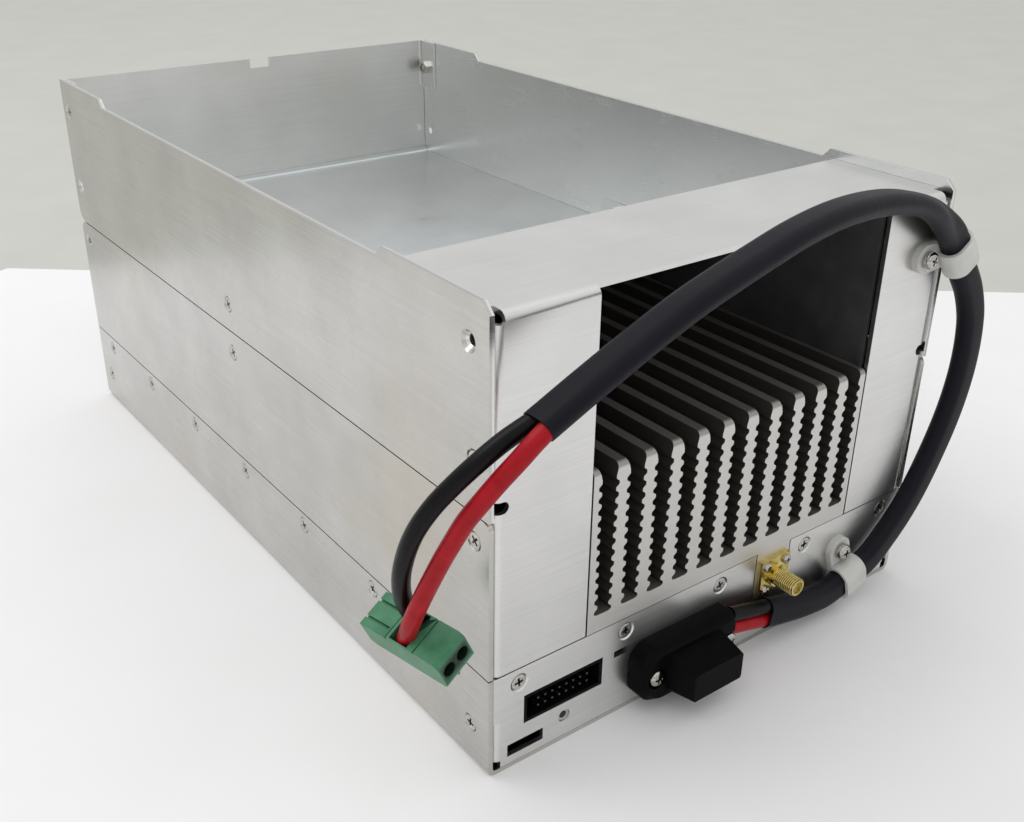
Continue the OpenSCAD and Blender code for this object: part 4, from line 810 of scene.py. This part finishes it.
# Half the spacing of each one's screws, in mm
PLUG_ASIDE, JACK_ASIDE, OUTPUT_ASIDE = 15.25, 4.32, 9.15
screws("clip_pan_screws", "clip_screws", pan_screw,
       [at(x, -3.2, z) for x, z in CLIP_SITES], FRONT, 7, bright_zinc)
screws("power_plug_screws", "hood_screws", plug_screw,
       [at(PLUG_X + s * PLUG_ASIDE, -5, PLUG_Z) for s in (-1, 1)], FRONT, 8, bright_zinc)
screws("input_jack_screws", "sma_screws", jack_screw,
       [at(JACK_X + a * JACK_ASIDE, -1.7, JACK_Z + b * JACK_ASIDE) for a, b in SIGNS], FRONT, 9, bright_zinc)
screws("output_jack_screws", "output_screws", hood_screw,
       [at(OUTPUT_X + a * OUTPUT_ASIDE, 303, OUTPUT_Z + b * OUTPUT_ASIDE) for a, b in SIGNS], REAR, 10)

# %% [markdown]
# ## Spring washers and threads
# Under each clip screw sits a split spring washer: nearly one turn of square wire, its two ends
# standing apart. A jack's thread is many turns of a ridge. Both are a spiral with an outline swept
# along it, so one tree makes them from a radius, a pitch and a number of turns.

# %% Tree that winds a spiral
spiral, given = geometry_tree("wound_ridge", Radius="Float", Turns="Float", Height="Float", Ridge="Float",
                              Sides="Int", Outward="Vector", Finish="Material")
wound = add(spiral, "GeometryNodeCurveSpiral",
            {"Resolution": 40, "Rotations": given["Turns"], "Start Radius": given["Radius"],
             "End Radius": given["Radius"], "Height": given["Height"]})
level = add(spiral, "GeometryNodeSetCurveNormal", {"Curve": wound.outputs[0]}, mode="Z_UP")
outline = add(spiral, "GeometryNodeCurvePrimitiveCircle",
              {"Resolution": given["Sides"], "Radius": given["Ridge"]}, mode="RADIUS")
eighth = add(spiral, "GeometryNodeTransform",
             {"Geometry": outline.outputs[0], "Rotation": (0, 0, math.pi / 4)})
ridge = add(spiral, "GeometryNodeCurveToMesh",
            {"Curve": level.outputs[0], "Profile Curve": eighth.outputs[0], "Fill Caps": True})
way = add(spiral, "FunctionNodeAlignRotationToVector", {"Vector": given["Outward"]}, axis="Z")
set_down = add(spiral, "GeometryNodeInstanceOnPoints",
               {"Points": given["Geometry"], "Instance": ridge.outputs[0], "Rotation": way.outputs[0]})
close_tree(spiral, set_down.outputs[0], given["Finish"])
print("spiral tree:", len(spiral.nodes), "nodes")

# %% Washers and threads


def wind(name, slot, nodes, sites, radius, turns, height, ridge, sides, outward, finish):
    """Spirals on these sites; lengths in mm."""
    piece = grown(name, mesh_of(sites), spiral, Radius=radius / 1000, Turns=turns, Height=height / 1000,
                  Ridge=ridge / 1000, Sides=sides, Outward=outward, Finish=finish)
    smoothed(piece.data, 50)
    return seat(piece, slot, *nodes)


def darken(piece, depths):
    """Stores how dark each point of a piece is painted, as shade and grime, from 0 to 1."""
    piece.data.attributes.new("recess", "FLOAT", "POINT").data.foreach_set("value", depths)


def dark_roots(thread, axis, crest, depth):
    """Painted shade and dirt in a thread along Y: none on its crests, most at its roots."""
    below = [crest - Vector((v.co.x - axis.x, v.co.z - axis.z)).length for v in thread.data.vertices]
    darken(thread, [ROOT_SHADE_AND_GRIME * min(1, max(0, b / depth)) for b in below])


# How dark the thread roots and the insert are painted, as shade and grime
ROOT_SHADE_AND_GRIME, INSERT_SHADE = 0.8, 0.85
THREAD_DEPTH, INPUT_CREST, OUTPUT_CREST = 0.0003, 0.00312, 0.00795
wind("split_washers", "zinc_plated_steel", ["clip_washers"], [at(x, -2.85, z) for x, z in CLIP_SITES],
     2.45, 0.95, 0.25, 0.52, 4, FRONT, bright_zinc)
input_thread = wind("input_jack_thread", "gold_plate", [], [at(JACK_X, -3.7, JACK_Z)],
                    2.82, 10.2, 7.2, 0.35, 8, FRONT, gold)
insert_turns = wind("insert_turns", "zinc_plated_steel", [], [at(26.8, 3.9, 8.8)],
                    1.2, 6.0, 3.2, 0.17, 6, FRONT, zinc)
output_thread = wind("output_jack_thread", "nickel_plate", [], [at(OUTPUT_X, 304.5, OUTPUT_Z)],
                     7.7, 10.4, 11, 0.3, 8, REAR, nickel)
# The insert's thread is painted dark all over, as the shade in its hole
darken(insert_turns, [INSERT_SHADE] * len(insert_turns.data.vertices))
dark_roots(input_thread, at(JACK_X, 0, JACK_Z), INPUT_CREST, THREAD_DEPTH)
dark_roots(output_thread, at(OUTPUT_X, 0, OUTPUT_Z), OUTPUT_CREST, THREAD_DEPTH)

# %% [markdown]
# ## Eased edges
# A moulding never has a knife edge, and the thin bright line that an eased edge catches tells the
# eye its size. The CAD pieces have sharp edges. A copy of the mesh is merged, its flat faces are
# joined, and a Bevel modifier eases the edges; the copy then stands for the CAD node.

# %% Mouldings with eased edges


def merged(node, finish):
    """A new piece from a CAD node, its loose triangles merged and its flat faces joined."""
    work = bmesh.new()
    work.from_mesh(frame["nodes"][node].data)
    bmesh.ops.remove_doubles(work, verts=work.verts, dist=2e-6)
    bmesh.ops.dissolve_limit(work, angle_limit=math.radians(1), verts=work.verts, edges=work.edges)
    mesh = bpy.data.meshes.new(node + "_eased")
    work.to_mesh(mesh)
    work.free()
    mesh.materials.append(finish)
    piece = bpy.data.objects.new(node + "_eased", mesh)
    scene.collection.objects.link(piece)
    return piece


def settled(piece, kind, **settings):
    """Runs one modifier on a piece and keeps the result as its plain mesh."""
    change = piece.modifiers.new("change", kind)
    for name, value in settings.items():
        setattr(change, name, value)
    keep(piece, change)


def shaded(piece):
    """Smooth on bends, sharp at corners, and flat on the large faces."""
    smoothed(piece.data, 32)
    settled(piece, "WEIGHTED_NORMAL", keep_sharp=True)


def eased(node, edge_mm, slot, finish):
    """A copy of a CAD node with eased edges, which stands for it."""
    piece = merged(node, finish)
    settled(piece, "BEVEL", width=edge_mm / 1000, segments=2, limit_method="ANGLE",
            angle_limit=math.radians(40))
    shaded(piece)
    return seat(piece, slot, node)


eased("plug_hood", 0.35, "black_nylon", black_nylon)
eased("header_shroud", 0.2, "black_nylon", black_nylon)
terminal = eased("terminal_plug", 0.3, "green_nylon", green_nylon)
for clip in ("lower_clip", "upper_clip"):
    eased(clip, 0.3, "natural_nylon", clear_nylon)

# %% Barrel of the input jack, turned down to the root of its thread
JACK_AXIS, BARREL_R, ROOT_R = at(JACK_X, 0, JACK_Z), 0.003175, 0.00278
# How far a point of the barrel may lie from its drawn radius
ROUNDING = 0.00004
jack = merged("sma_body", gold)
on_barrel = 0
for vert in jack.data.vertices:
    aside = Vector((vert.co.x - JACK_AXIS.x, 0, vert.co.z - JACK_AXIS.z))
    if abs(aside.length - BARREL_R) < ROUNDING:
        vert.co -= aside * (1 - ROOT_R / BARREL_R)
        on_barrel += 1
shaded(jack)
seat(jack, "gold_plate", "sma_body")
print("points on the jack's barrel:", on_barrel)

# %% Driver holes in the terminal plug, painted dark as shade
DRIVER_HOLE = 0.00205
poles = [(Vector(j["pos_m"]), Vector(j["axis"]))
         for j in frame["record"]["behaviour"]["joints"] if j["type"] == "hinge"]
depths = []
for vert in terminal.data.vertices:
    aside = min(((vert.co - p) - w * (vert.co - p).dot(w)).length for p, w in poles)
    depths.append(1.0 if aside < DRIVER_HOLE else 0.0)
darken(terminal, depths)
print("vertices in the driver holes:", int(sum(depths)))

# %% [markdown]
# ## Fin ends
# The ends of the fins are rounded off where they look out of the front. The solid model rounds them
# more than the photograph shows, so a copy of the sink gets the smaller radius: each point of the
# round keeps its height and moves along the case to the smaller arc.

# %% Heat sink with smaller fin ends
FIN_TOP, FIN_END, DRAWN_R, SEEN_R, NEAR = 0.087, 0.15, 0.006, 0.002, 1e-5
sink = merged("heat_sink", sink_finish)
for vert in sink.data.vertices:
    if vert.co.z > FIN_TOP - DRAWN_R and abs(vert.co.y) > FIN_END - DRAWN_R - NEAR:
        rise = max(0.0, vert.co.z - FIN_TOP + SEEN_R)
        set_back = SEEN_R - math.sqrt(max(0.0, SEEN_R**2 - rise**2))
        vert.co.y = math.copysign(FIN_END - set_back, vert.co.y)
shaded(sink)
seat(sink, "black_anodised_aluminium", "heat_sink")

# %% [markdown]
# The photograph shows the lead from end to end, so that is its length.

# %% [markdown]
# ## Floor and light
# A white bench runs back to a grey wall in the photograph. The floor here is one plane that turns
# grey behind the line where the wall began, so that no wall stands in the way of the other views.
# A big soft lamp overhead and a pale world that is brighter above than at the sides give the flat
# light of a workshop, and the small bright metals get something darker to mirror.

# %% Floor
FLOOR_HALF = 4
# Where the bench ends: a direction on the floor and how far from the middle the line lies that way, in m
BENCH_ENDS = (((0.628, 0.778, 0.0), 0.2207), ((-0.375, 0.927, 0.0), 0.3507))
floor_finish, tree, shader, place = finish_of("bench_and_backdrop")
beyond = []
for direction, distance in BENCH_ENDS:
    far = add(tree, "ShaderNodeVectorMath", {0: place, 1: direction}, operation="DOT_PRODUCT")
    past = add(tree, "ShaderNodeMath", {0: far.outputs["Value"], 1: distance}, operation="GREATER_THAN")
    beyond.append(past.outputs[0])
behind = add(tree, "ShaderNodeMath", {0: beyond[0], 1: beyond[1]}, operation="MAXIMUM").outputs[0]
speck = noise(tree, place, 50, 4.0)
bench, wall = blend(tree, speck, "#f1efef", "#f6f5f6"), blend(tree, speck, "#c6c5bf", "#cfcec9")
feed(tree, shader, {"Base Color": tint(tree, behind, bench, wall)})
shader.inputs["Roughness"].default_value = 0.8
shader.inputs["Specular IOR Level"].default_value = 0.0
corners = [(FLOOR_HALF * a, FLOOR_HALF * b, 0) for a, b in ((-1, -1), (1, -1), (1, 1), (-1, 1))]
floor = bpy.data.objects.new("floor", mesh_of(corners, (), [(0, 1, 2, 3)], "floor"))
floor.data.materials.append(floor_finish)
scene.collection.objects.link(floor)
print("floor:", 2 * FLOOR_HALF, "m wide")

# %% Light
HORIZON, ZENITH = 0.66, 1.1
world = bpy.data.worlds.new("even_room_light")
world.use_nodes = True
sky = world.node_tree
upward = add(sky, "ShaderNodeTexCoord").outputs["Generated"]
height = add(sky, "ShaderNodeSeparateXYZ", {0: upward}).outputs["Z"]
background = sky.nodes["Background"]
background.inputs["Color"].default_value = ink("#f7f8f8")
sky.links.new(spread(sky, height, HORIZON, ZENITH), background.inputs["Strength"])
scene.world = world
LAMP_PLACE, LAMP_SIZE, LAMP_WATTS = Vector((-0.7, 0.35, 1.3)), 0.9, 5.0
lamp = bpy.data.lights.new("ceiling_lamp", "AREA")
lamp.shape, lamp.size, lamp.energy = "SQUARE", LAMP_SIZE, LAMP_WATTS
holder = bpy.data.objects.new("ceiling_lamp", lamp)
holder.location = LAMP_PLACE
holder.rotation_mode = "QUATERNION"
holder.rotation_quaternion = (-LAMP_PLACE).to_track_quat("-Z", "Y")
scene.collection.objects.link(holder)
print("lamps:", [light.name for light in bpy.data.lights])
